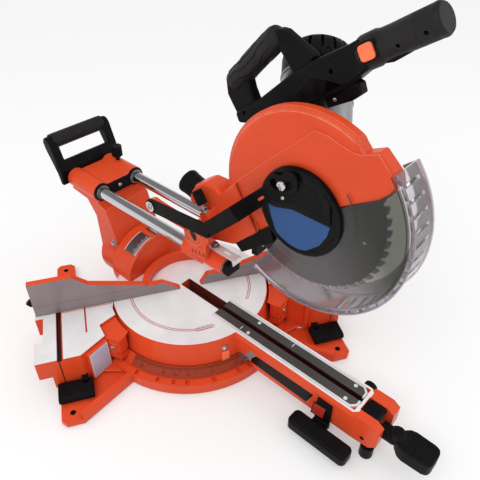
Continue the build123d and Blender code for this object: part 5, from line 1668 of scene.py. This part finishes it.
@dataclass
class Turntable(SubAssembly):
    """Details of the turntable: lines, painted shade in the blade channel, kerf plates, arm plates
    and skirt screw.
    """

    home = TABLE
    carrier = Body.TURNTABLE

    top: float = 85.0
    channel: float = 58.0
    channel_sides: Point2 = (-9.0, 14.0)
    channel_ends: Point2 = (-18.0, 387.0)
    plates_from: float = 85.0
    plates_to: float = 387.0
    plate_sides: Point3 = (4.5, 20.4, 24.1)
    rivets: tuple[Point2, ...] = ((163.0, 15.6), (365.0, 15.6))
    arm_side: float = -33.0
    line_starts: Point2 = (24.0, 226.0)
    line_sweep: float = 110.0
    line_radii: Point2 = (112.4, 116.0)
    line_width: float = 1.3
    slot_run: tuple[Point2, ...] = ((103.8, -46.5), (91.6, -69.7))
    mark_places: tuple[Point2, ...] = ((146.0, -14.0), (240.0, 15.0))
    skirt: Point3 = (152.7, 62.0, math.radians(-21.0))

    def build(self) -> None:
        """Models and dresses the details."""
        self.channel_shade()
        self.lines()
        self.kerf()
        self.marks()
        self.arm_plates()
        self.skirt_screw()

    def channel_shade(self) -> None:
        """Thin dark sheets of painted shade on the floor and walls of the blade channel."""
        (p0, p1), (t0, t1) = self.channel_sides, self.channel_ends
        thin = 0.25
        # Painted shade: dark sheets on the channel's floor and walls.
        floor = Shop.plan(box(t0, t1, p0, p1), self.channel + 0.1, self.channel + 0.3)
        walls = [Shop.side([(t0, self.channel), (t1, self.channel), (t1, self.top - 5.2),
                            (self.plates_from, self.top - 5.2), (self.plates_from, self.top - 0.5),
                            (t0, self.top - 0.5)], p, p + thin) for p in (p0, p1 - thin)]
        self.add(Shop.join([floor, *walls]), "channel_shade_sheets", SHADE_PAINT)

    def lines(self) -> None:
        """Red lines round the table and the slot mark beside the kerf."""
        z = self.top
        arcs = []
        for start in self.line_starts:
            for r in self.line_radii:
                line = box(r, r + self.line_width, z - 0.1, z + 0.12)
                arcs.append(Shop.arc(line, start, start + self.line_sweep, 60))
        self.add(Shop.join(arcs), "table_lines", RED_LABEL)
        # The slot's rim is painted shade: orange paint darkened as if in shadow.
        rim = Shop.plan(band(self.slot_run, 8.4), z - 0.1, z + 0.06)
        self.add(rim, "slot_rim", SCALE)
        inner = Shop.plan(band(self.slot_run, 6.4), z - 0.1, z + 0.1)
        self.add(inner, "slot_face", WHITE_LABEL)

    def kerf(self) -> None:
        """Kerf plates with their rivets, and the bright strips beside them."""
        (slit, edge, rim), t0, t1, z = self.plate_sides, self.plates_from, self.plates_to, self.top
        strips = []
        for sign, node in ((-1, "kerf_plate_left"), (1, "kerf_plate_right")):
            outline = [(t0, slit), (t1 - 3.6, slit), (t1 - 3.6, edge - 7), (t1 - 10.6, edge),
                       (t0, edge)]
            plate = Shop.soften(Shop.plan([(t, sign * p) for t, p in outline], z - 4.9, z), 0.4, 2)
            self.add(plate, node.replace("kerf_plate", "kerf_insert"), PLATE, replaces=(node,))
            outline = [(t0, edge + 0.1), (t1 - 10.4, edge + 0.1), (t1 - 3.5, edge - 6.9),
                       (t1 - 3.5, slit), (t1, slit), (t1, rim - 9), (t1 - 9, rim), (t0, rim)]
            strips.append(Shop.plan([(t, sign * p) for t, p in outline], z - 4.9, z + 0.1))
        self.add(Shop.join(strips), "kerf_strips", STRIP)
        rivet = Shop.lathe([(0, z - 1), (3.3, z - 1), (3.3, z + 0.1), (2.7, z + 0.5),
                            (1.3, z + 0.5), (1.1, z + 0.1), (0, z + 0.1)], 24)
        heads = Shop.copies(rivet, [at(t, sign * p, 0.0) for t, p in self.rivets
                                    for sign in (-1, 1)])
        self.add(heads, "kerf_rivets", STRIP, replaces=("kerf_screws",))

    def marks(self) -> None:
        """Pale reading mark on each kerf plate."""
        z = self.top
        mark = Shop.plan(band([(0, -3.6), (0, 3.6)], 1.4, 4), z - 0.2, z + 0.15)
        marks = Shop.copies(mark, [at(t, p, 0.0) for t, p in self.mark_places])
        self.add(marks, "kerf_marks", WHITE_LABEL)

    def arm_plates(self) -> None:
        """Bare plates on the left wall of the arm and on the stabiliser's tab."""
        p = self.arm_side
        grey = Shop.slab([(168, 43), (184, 67), (198, 67), (196, 41)], p - 0.5, p + 0.5, 0.2, 1)
        self.add(grey, "arm_backing", GREY_LABEL)
        black = Shop.slab([(185, 41), (188, 53), (197, 64), (318, 66.5), (307, 38.6)], p - 0.9,
                          p + 0.5, 0.3, 1)
        self.add(black, "arm_plate", SATIN)
        tab = Shop.slab([(324, 56), (346, 59), (343, 31), (321, 29)], p - 4.7, p - 3.5, 0.3, 1)
        self.add(tab, "tab_plate", RED_LABEL)
        frame_plate = Shop.slab([(322.6, 58), (348, 61), (345, 28.6), (319.4, 26.8)], p - 4.4,
                                p - 3.4, 0.2, 1)
        self.add(frame_plate, "tab_border", SATIN)
        screw = Shop.move(Shop.screw(3.6, 1.6), at(412.0, p, 45.0, Along.LEFT))
        self.add(screw, "arm_screw", SATIN)

    def skirt_screw(self) -> None:
        """Screw on the skirt left of the arm, with the foot of the pointer under it."""
        r, z, a = self.skirt
        out = (math.cos(a), math.sin(a), 0.15)
        place = TABLE @ axes((r * out[0], r * out[1], z), (-math.sin(a), math.cos(a), 0.0),
                             (0.0, 0.0, 1.0), (out[0], out[1], 0.0))
        washer = Shop.lathe([(0, -1), (6.6, -1), (6.6, 0.8), (5.8, 1.4), (0, 1.4)], 32)
        self.add(washer, "skirt_washer", STEEL, place=place)
        screw = Shop.move(Shop.screw(4.6, 2.6), at(0.0, 0.0, 1.4))
        self.add(screw, "skirt_screw", CHROME, place=place)
        foot = Shop.prism([(-7, -7, 0.5), (-8, -24, 3.6), (-8, -24, 6.0), (-7, -7, 3.5)],
                          (15.0, 0.0, 0.0))
        Shop.soften(foot, 0.8, 2)
        self.add(foot, "pointer_foot", ORANGE_PLASTIC, place=place)


@dataclass
class MitreScale(SubAssembly):
    """Graduations and numbers on the sloping face of the scale ring."""

    home = BASE
    carrier = Body.BASE

    inner: Point2 = (159.6, 38.05)
    outer: Point2 = (172.6, 23.5)
    reach: int = 50
    numbers: tuple[float, ...] = (0.0, 15.0, 22.5, 30.0, 45.0)

    def build(self) -> None:
        """Models and dresses the graduations."""
        self.ticks()
        self.figures()

    def place(self, angle: float, share: float) -> Matrix:
        """Frame on the slope: X to the right, Y up the slope, Z outwards.

        Args:
            angle: degrees to the right of straight ahead.
            share: how far down the slope, from 0 to 1.

        Returns:
            The matrix of the frame.
        """
        r = self.inner[0] + (self.outer[0] - self.inner[0]) * share
        z = self.inner[1] + (self.outer[1] - self.inner[1]) * share
        slope = Vector((self.inner[0] - self.outer[0], self.inner[1] - self.outer[1])).normalized()
        a = math.radians(angle)
        out = Vector((math.sin(a), -math.cos(a), 0.0))
        right = Vector((math.cos(a), math.sin(a), 0.0))
        up = out * slope.x + Vector((0.0, 0.0, slope.y))
        return axes(tuple(out * r + Vector((0.0, 0.0, z))), tuple(right), tuple(up),
                    tuple(right.cross(up)))

    @staticmethod
    def step(angle: int) -> int:
        """The largest round step that an angle is a multiple of."""
        return next(step for step in (10, 5, 1) if angle % step == 0)

    def ticks(self) -> None:
        """One line for each degree, longer at fives and tens."""
        made = []
        for step, long in ((1, 4.2), (5, 6.2), (10, 7.6)):
            tick = Shop.plan(box(-0.42, 0.42, -long, 0.0), 0.02, 0.2)
            angles = [a for a in range(-self.reach, self.reach + 1) if self.step(a) == step]
            made.append(Shop.copies(tick, [self.place(a, 0.05) for a in angles]))
        self.add(Shop.join(made), "scale_lines", INK)

    def figures(self) -> None:
        """Degree numbers under the longer lines."""
        made = []
        for value in self.numbers:
            for sign in ((1,) if value == 0 else (-1, 1)):
                made.append(Shop.move(Shop.text(f"{value:g}", 6.6, 0.12),
                                      self.place(sign * value, 0.66)))
        self.add(Shop.join(made), "scale_numbers", INK)


@dataclass
class BaseDetails(SubAssembly):
    """Bare label plate, corner plates and flip levers of the base."""

    home = BASE
    carrier = Body.BASE

    corner_face: tuple[Point2, Point2] = ((172.0, -83.0), (150.0, -98.0))
    label_face: tuple[Point2, Point2] = ((-215.0, -115.0), (-172.0, -82.0))
    lever_x: Point2 = (204.0, 264.0)
    lever_pin: Point2 = (-120.0, 26.0)
    lever_depth: float = 38.0
    pad: float = 6.8
    wing: Point3 = (250.0, -115.0, 40.0)
    bench_hole: Point2 = (243.0, 188.0)
    hole_radius: float = 5.0

    def build(self) -> None:
        """Models and dresses the details."""
        self.corners()
        self.label()
        self.levers()
        self.hole_shades()
        self.lugs()
        self.seam_shades()

    @staticmethod
    def wall(start: Point2, end: Point2) -> Matrix:
        """Frame of an upright wall: X from start to end, outwards against Y."""
        along = (Vector(end) - Vector(start)).normalized()
        return BASE @ axes((*start, 0.0), (along.x, along.y, 0.0), (-along.y, along.x, 0.0),
                           (0.0, 0.0, 1.0))

    def corners(self) -> None:
        """Plate with a screw on each shoulder of the base."""
        (x0, y0), (x1, y1) = self.corner_face
        for name, start, end, flip in (("left", (-x0, y0), (-x1, y1), 1),
                                       ("right", (x1, y1), (x0, y0), -1)):
            place = self.wall(start, end)
            middle = math.dist(start, end) / 2
            plate = Shop.side([(middle + flip * s, z)
                               for s, z in ((-11, 36), (5, 33), (6, 68), (-8, 74))], -1.4, 1.0)
            Shop.soften(plate, 1.0, 3)
            self.add(plate, f"corner_plate_{name}", PAINT, place=place)
            screw = Shop.move(Shop.screw(4.4, 2.4), at(middle - flip * 2.0, -1.4, 60.0, Along.LEFT))
            self.add(screw, f"corner_screw_{name}", CHROME, place=place)

    def label(self) -> None:
        """Blank label on the slanted front of the left wing."""
        place = self.wall(*self.label_face)
        out = self.pad
        pad = Shop.slab(rounded_box(9.4, 53.5, 13.5, 79.0, 2.0), -out, 1.0, 1.2, 3)
        self.add(pad, "label_pad", PAINT, place=place)
        border = Shop.slab(rounded_box(11.6, 51.4, 16.5, 76.0, 2.0), -out - 0.4, -out + 0.4, 0.15,
                           1)
        self.add(border, "label_border", WHITE_LABEL, place=place)
        inner = Shop.slab(rounded_box(13.4, 49.6, 18.3, 74.2, 1.2), -out - 0.7, -out + 0.2, 0.15, 1)
        self.add(inner, "label_face", PALE_LABEL, place=place)

    def levers(self) -> None:
        """Rounded flip levers of the extension tables."""
        y, z = self.lever_pin
        d = self.lever_depth
        outline = [(y + 2.5, z - 10), (y + 2.5, z + 3), (y - 2, z + 5), (y - d + 8, z + 2),
                   (y - d + 2.5, z - 3), (y - d + 4, z - 10)]
        for sign, body, node in ((-1, Body.LEVER_LEFT, "extension_lock_left"),
                                 (1, Body.LEVER_RIGHT, "extension_lock_right")):
            x0, x1 = sorted(sign * x for x in self.lever_x)
            lever = Shop.prism([(x0, a, b) for a, b in outline], (x1 - x0, 0.0, 0.0))
            Shop.soften(lever, 4.0, 4, 20.0)
            lug = sign * (self.lever_x[0] + 13.0)
            Shop.cut(lever, Shop.plan(box(lug - 5.4, lug + 5.4, y - 10, y + 8), 0.0, 60.0))
            self.add(lever, f"flip_lever_{'left' if sign < 0 else 'right'}", BLACK,
                     replaces=(node,), body=body)

    def lugs(self) -> None:
        """Dark caps on the lever lugs and the floor plates behind the shoulders."""
        y = self.lever_pin[0]
        caps, floors = [], []
        for sign in (-1, 1):
            x = sign * (self.lever_x[0] + 13.0)
            cap = Shop.plan(box(x - 5.3, x + 5.3, y - 4.4, y + 6.8), 17.9, 34.6)
            Shop.cut(cap, Shop.plan(box(x - 4.9, x + 4.9, y - 3.9, y + 9), 10.0, 33.9))
            caps.append(cap)
            outline = [(sign * a, b) for a, b in ((176, -29), (138, -82), (155, -112), (200, -100))]
            floors.append(Shop.soften(Shop.plan(outline, 16.0, 19.0), 0.5, 2))
        self.add(Shop.join(caps), "lug_caps", BLACK)
        self.add(Shop.join(floors), "shoulder_floors", PAINT)

    def seam_shades(self) -> None:
        """Dark strips of painted shade in the gaps where the extension tables meet the wings and in
        the wing grooves.
        """
        x, front, rear = self.wing
        z = Turntable.top
        for sign, body, name in ((-1, Body.EXTENSION_LEFT, "left"),
                                 (1, Body.EXTENSION_RIGHT, "right")):
            # Painted shade: dark beds and lines inside the gap and the groove.
            a, b = sign * (x + 0.5), sign * (x + 3.6)
            bed = Shop.plan(box(a, b, front + 1, rear - 1), z - 5.9, z - 5.5)
            line = Shop.plan(box(a, sign * (x + 1.9), front - 0.25, front + 0.5), 17.0, z - 6.0)
            self.add(Shop.join([bed, line]), f"seam_{name}", INK, body=body)
            a, b = sign * (x - 3.2), sign * (x - 0.1)
            bed = Shop.plan(box(a, b, front + 1, rear - 1), z - 5.9, z - 5.5)
            self.add(bed, f"groove_{name}", INK)

    def hole_shades(self) -> None:
        """Dark tubes of painted shade in the four bench holes."""
        x, y = self.bench_hole
        r = self.hole_radius
        # Painted shade: a thin black tube on each hole's wall.
        shade_tube = Shop.lathe([(r - 0.7, 3.4), (r - 0.06, 3.4), (r - 0.06, 13.0), (r - 0.4, 13.15),
                           (r - 0.7, 13.0)], 32)
        shade_tubes = Shop.copies(shade_tube, [at(a * x, b * y, 0.0) for a in (-1, 1) for b in (-1, 1)])
        self.add(shade_tubes, "bench_hole_shade", BLACK, place=ROW)


@dataclass
class Column(SubAssembly):
    """Details of the bevel housing, the column and the rail block."""

    home = TABLE
    carrier = Body.BEVEL_ARM

    housing_radius: float = 72.0
    bevel_z: float = 85.0
    rail_p: float = 40.0
    rail_z: float = 240.0
    seal: float = -187.0
    block_rear: float = -275.0
    marks: tuple[int, int, int] = (99, 133, 3)
    stop_at: Point3 = (-159.0, -52.0, 139.0)
    knob_at: float = -240.0

    def build(self) -> None:
        """Models and dresses the details."""
        self.bevel_marks()
        self.rim()
        self.stop()
        self.seal_parts()
        self.handle()
        self.hook()
        self.knob()

    def bevel_marks(self) -> None:
        """Pale graduations on the bevel scale plates."""
        made = []
        r = self.housing_radius + 1.25
        for a in range(*self.marks):
            long = 11.0 if a % 9 == 0 else 7.0
            tick = Shop.plan(box(-99.0, -99.0 - long, -0.4, 0.4), r - 0.1, r + 0.15)
            made.append(Shop.move(tick, at(0.0, 0.0, self.bevel_z) @ turned(a - 90.0, "X")))
        self.add(Shop.join(made), "bevel_lines", WHITE_LABEL, body=Body.TURNTABLE)
        edge = [Shop.arc(box(r, r + 0.25, t, t + 1.3), 186, 224, 24) for t in (-129.0, -99.3)]
        pointer = Shop.arc(box(r, r + 0.5, -126.0, -100.0), 153, 174, 16)
        for piece, name, finish in ((Shop.join(edge), "bevel_edges", WHITE_LABEL),
                                    (pointer, "bevel_pointer", CHROME)):
            Shop.move(piece, at(0.0, 0.0, self.bevel_z, Along.AHEAD))
            self.add(piece, name, finish, body=Body.TURNTABLE)

    def rim(self) -> None:
        """Raised rim on the front edge of the bevel housing."""
        r = self.housing_radius
        rim = Shop.arc([(r - 3, -97.5), (r + 1.6, -97.5), (r + 2.4, -95.6), (r + 1.6, -93.6),
                        (r - 3, -93.6)], 108, 252, 64)
        Shop.move(rim, at(0.0, 0.0, self.bevel_z, Along.AHEAD))
        self.add(rim, "housing_rim", PAINT, body=Body.TURNTABLE)

    def stop(self) -> None:
        """Bevel stop bolt on the side of the column."""
        bolt = Shop.move(Shop.hex_bolt(5.0, 5.5), at(*self.stop_at, Along.LEFT))
        self.add(bolt, "bevel_stop_bolt", STEEL)

    def seal_parts(self) -> None:
        """Screw of the seal plate and the bright rings round the rails."""
        screw = Shop.move(Shop.screw(4.2, 2.4), at(self.seal, 0.0, self.rail_z, Along.AHEAD))
        self.add(screw, "seal_screw", CHROME)
        ring = Shop.lathe([(11.4, 0), (14.2, 0), (14.2, 0.8), (13.6, 1.2), (11.4, 1.2)], 48)
        rings = Shop.copies(ring, [at(self.seal, p, self.rail_z, Along.AHEAD)
                                   for p in (-self.rail_p, self.rail_p)])
        self.add(rings, "rail_rings", ALUMINIUM)

    def handle(self) -> None:
        """Rear carry handle: base plate round the rails, two legs and the ribbed bar."""
        t1, half = self.block_rear, self.rail_p + 30.0
        t0, bar_t, bar_z = t1 - 8.0, t1 - 34.0, self.rail_z + 72.0
        plate = Shop.slab([(t0, 232), (t1, 232), (t1, 262), (t0 - 3, 277), (t0 - 11, 275),
                           (t0 - 6, 252)], -half, half, 1.6, 3)
        hole = Shop.bar(14, t0 - 3, t1 + 3, 40)
        Shop.cut(plate, Shop.copies(hole, [at(0.0, p, self.rail_z, Along.AHEAD)
                                           for p in (-self.rail_p, self.rail_p)]))
        leg = [(t1, 232), (t1, 260), (bar_t + 14, bar_z + 4), (bar_t + 8, bar_z + 10),
               (bar_t, bar_z + 12), (bar_t - 9, bar_z + 8), (bar_t - 12, bar_z),
               (bar_t - 8, bar_z - 14), (t0 - 4, 246), (t0, 232)]
        legs = [Shop.slab(leg, p, p + 18, 5.0, 5, 20.0) for p in (-half, half - 18)]
        profile = [(0.0, 12 - half), (14.2, 12 - half)]
        for k in range(18):
            z = 20.0 - half + 5.7 * k
            profile += [(14.5, z), (13.4, z + 0.9), (13.4, z + 1.9), (14.5, z + 2.8)]
        profile += [(14.2, half - 12), (0.0, half - 12)]
        bar = Shop.move(Shop.lathe(profile, 40), at(bar_t, 0.0, bar_z, Along.RIGHT))
        self.add(Shop.join([plate, *legs]), "rear_frame", BLACK, replaces=("rear_handle",))
        self.add(bar, "rear_grip", GRIP_RUBBER)

    def hook(self) -> None:
        """Wire hook between the legs of the rear handle."""
        t, z = self.block_rear - 8.0, self.rail_z + 16.0
        points = [(t, -12, z), (t - 8, -12, z + 3), (t - 13, -12, z + 8), (t - 14, -9, z + 14),
                  (t - 14, 9, z + 14), (t - 13, 12, z + 8), (t - 8, 12, z + 3), (t, 12, z)]
        self.add(Shop.wire(points, 3.0), "wire_hook", BLACK)

    def knob(self) -> None:
        """Ribbed rail lock knob."""
        z = self.rail_z + 28.0
        knob = Shop.soften(Shop.plan(lobes(11.0, 9.4, 10), z, z + 22.0), 1.2, 3)
        stem = Shop.lathe([(0, z - 16), (4, z - 16), (4, z - 3), (7, z - 2), (7, z + 0.5),
                           (0, z + 0.5)], 32)
        self.add(Shop.join([knob, stem]), "rail_knob", BLACK, replaces=("rail_lock_knob",),
                 place=TABLE @ at(self.knob_at, self.rail_p, 0.0), body=Body.RAIL_KNOB)


@dataclass
class Carriage(SubAssembly):
    """Carriage: rail clamps, pivot ears, ribbed web, clamp plate, and parts of the guard link."""

    home = TABLE
    carrier = Body.CARRIAGE

    rail: Point3 = (40.0, 240.0, 11.0)
    clamp: Point3 = (46.0, 134.0, 17.0)
    pivot: Point3 = (60.0, 262.0, 7.0)
    ear: Point2 = (22.4, 32.0)
    web: Point2 = (-59.6, -50.0)
    eye: Point2 = (82.0, 285.0)
    link_pivot: Point2 = (-9.0, 302.0)
    link_face: float = -67.0

    def build(self) -> None:
        """Models and dresses the carriage."""
        self.frame()
        self.bracket()
        self.clamp_plate()
        self.link_parts()

    def frame(self) -> None:
        """Cross piece, two rail clamps and the pivot ears."""
        (side, z, r), (t0, t1, outer), (pt, pz, pin) = self.rail, self.clamp, self.pivot
        cross = Shop.slab(box(t0, t0 + 18, z - 15, z - 2), -side, side, 1.5, 3)
        tube = Shop.lathe([(r + 0.05, t0 + 1.6), (outer - 1.5, t0 + 1.6), (outer, t0 + 3),
                           (outer, t0 + 44), (outer - 2, t0 + 47), (13.6, t0 + 48), (13.6, t1),
                           (r + 0.05, t1)], 48)
        tubes = Shop.copies(tube, [at(0.0, p, z, Along.AHEAD) for p in (-side, side)])
        outline = [(pt - 16, z - 12), (pt + 40, z - 12), (pt + 18, pz + 5), (pt - 16, pz + 5)]
        boss = [(pin + 0.05, 0), (17.4, 0), (19, 1.6), (19, 8), (17.4, 9.6), (pin + 0.05, 9.6)]
        ears = []
        for p0, p1 in (self.ear, (-self.ear[1], -self.ear[0])):
            ear = Shop.slab(outline, p0, p1, 1.5, 3)
            hole = Shop.bar(pin + 0.05, p0 - 3, p1 + 3, 40)
            Shop.cut(ear, Shop.move(hole, at(pt, 0.0, pz, Along.RIGHT)))
            ears += [ear, Shop.move(Shop.lathe(boss, 48), at(pt, p0, pz, Along.RIGHT))]
        self.add(Shop.join([cross, tubes, *ears]), "carriage_frame", PAINT, replaces=("carriage",))

    def bracket(self) -> None:
        """Arm of the guard link and the ribbed web with its oval hole and slots, their insides in
        dark painted shade.
        """
        p0, p1 = self.web
        arm = Shop.side([(-20, 297), (-17, 310), (-8, 314), (4, 312), (66, 308), (66, 287),
                         (10, 287), (-6, 290)], p0, p1)
        self.add(Shop.soften(arm, 1.5, 3, 20.0), "link_bracket", PAINT)
        outline = [(60, 299), (64, 270), (71, 243), (108, 249), (110, 278), (116, 288), (116, 303),
                   (108, 310), (62, 308)]
        web = Shop.slab(outline, p0, p1, 1.2, 3, 20.0)
        field = [(66, 298), (70, 270), (76, 264), (100, 268), (103, 280), (102, 302)]
        slots = []
        for k in range(4):
            run = [(78.5 + 8.6 * k, 256.5 + 1.6 * k), (80 + 8.4 * k, 249.5 + 1.2 * k)]
            slots.append(Shop.side(band(run, 3.6, 4), p0 - 2, p0 + 5))
        Shop.cut(web, Shop.side(field, p0 - 2, p0 + 2.4), *slots)
        eye = at(self.eye[0], p0, self.eye[1], Along.RIGHT)
        ring = Shop.move(Shop.lathe([(9.4, 0), (12.4, 0), (13.4, 1), (13.4, 6), (9.4, 6)], 48), eye)
        arch = Shop.move(Shop.arc(box(18, 20.4, 0.3, 6), -60, 120, 32), eye)
        self.add(Shop.join([web, ring, arch]), "carriage_web", PAINT)
        # Painted shade: dark sheets inside the oval hole and behind the slots, over the orange
        # bracket.
        hole = Shop.side(band([(79.5, 289.5), (84.5, 281)], 10.0), p0 + 1.6, p0 + 3.0)
        slot_shade = Shop.side([(74, 246), (107, 251), (107, 270), (74, 262)], p0 + 4.6, p0 + 5.4)
        self.add(Shop.join([hole, slot_shade]), "web_hole_shade", INK)

    def clamp_plate(self) -> None:
        """Polished plate over the left clamp with its bolt, slot and bent end."""
        z = self.rail[1] + 13.0
        plate = Shop.plan(box(90, 147, -37, -20), z, z + 2.4)
        Shop.cut(plate, Shop.plan(band([(122, -27), (131, -27)], 5.5), z - 2, z + 5))
        Shop.soften(plate, 0.6, 2)
        lip = Shop.soften(Shop.plan(box(145.4, 148.6, -38, -19), z - 8, z + 2.4), 0.6, 2)
        self.add(Shop.join([plate, lip]), "clamp_plate", STRIP)
        bolt = Shop.move(Shop.hex_bolt(5.2, 6.0), at(99.0, -27.0, z + 2.2))
        self.add(bolt, "clamp_bolt", STEEL)

    def link_parts(self) -> None:
        """Pivot screw of the guard link and the painted slot in its front run."""
        t, z = self.link_pivot
        screw = Shop.move(Shop.screw(5.0, 2.4), at(t, self.link_face, z, Along.LEFT))
        self.add(screw, "link_pivot_screw", STEEL)
        slot = Shop.side(band([(-52, 32.4), (-42, 34.5)], 4.0, 4), -26.35, -25.8)
        self.add(slot, "link_slot", PAINT, place=HEAD, body=Body.LINK)


@dataclass
class MitreLock(SubAssembly):
    """Twist handle of the mitre lock."""

    home = TABLE
    carrier = Body.LOCK_HANDLE

    side: float = -1.5
    up: float = 52.0
    rod: float = 6.0
    neck: float = 13.0
    paddle: Point2 = (38.0, 65.5)
    grooves: tuple[float, ...] = (472.0, 483.0, 494.0, 505.0)

    def build(self) -> None:
        """Models and dresses the handle."""
        profile = [(0, 387), (self.rod, 387), (self.rod, 427), (self.neck - 1, 427),
                   (self.neck, 428), (self.neck, 451), (11, 458), (0, 458)]
        neck = Shop.move(Shop.lathe(profile, 40), at(0.0, self.side, self.up, Along.AHEAD))
        boss = Shop.lathe([(0, 58), (12, 58), (12, 66.5), (10.8, 67.6), (8.6, 67.6), (8.2, 66.4),
                           (0, 66.4)], 40)
        Shop.move(boss, at(453.0, self.side, 0.0))
        outline = [(454, -10), (465, -21), (474, -23.5), (506, -22.4), (513, -19.5), (516, -13),
                   (516, 10), (513, 16.5), (506, 19.4), (474, 20.5), (465, 18), (454, 7)]
        paddle = Shop.plan(outline, *self.paddle)
        Shop.soften(paddle, 3.2, 4, 20.0)
        grooves = [Shop.plan(box(t, t + 2.4, -30, 30), 63.4, 70) for t in self.grooves]
        Shop.cut(paddle, Shop.join(grooves))
        self.add(Shop.join([paddle, neck, boss]), "mitre_paddle", BLACK,
                 replaces=("mitre_lock_handle",))


def dress_solids() -> None:
    """Gives every solid of the saw its finish."""
    for finish, names in NODES_OF.items():
        for name in names:
            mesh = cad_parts[name].data
            mesh.materials.clear()
            mesh.materials.append(finish.material())
            LOG.info("solid %s: %s", name, finish.name)


def main() -> None:
    """Builds the studio, dresses the solids and adds every modelled piece."""
    logging.basicConfig(level=logging.INFO, format="%(name)s: %(message)s")
    Studio().build()
    dress_solids()
    for assembly in (Hood(), BladeSet(), Motor(), MainHandle(), Turntable(), MitreScale(),
                     BaseDetails(), Column(), Carriage(), MitreLock()):
        assembly.build()


if __name__ == "__main__":
    main()
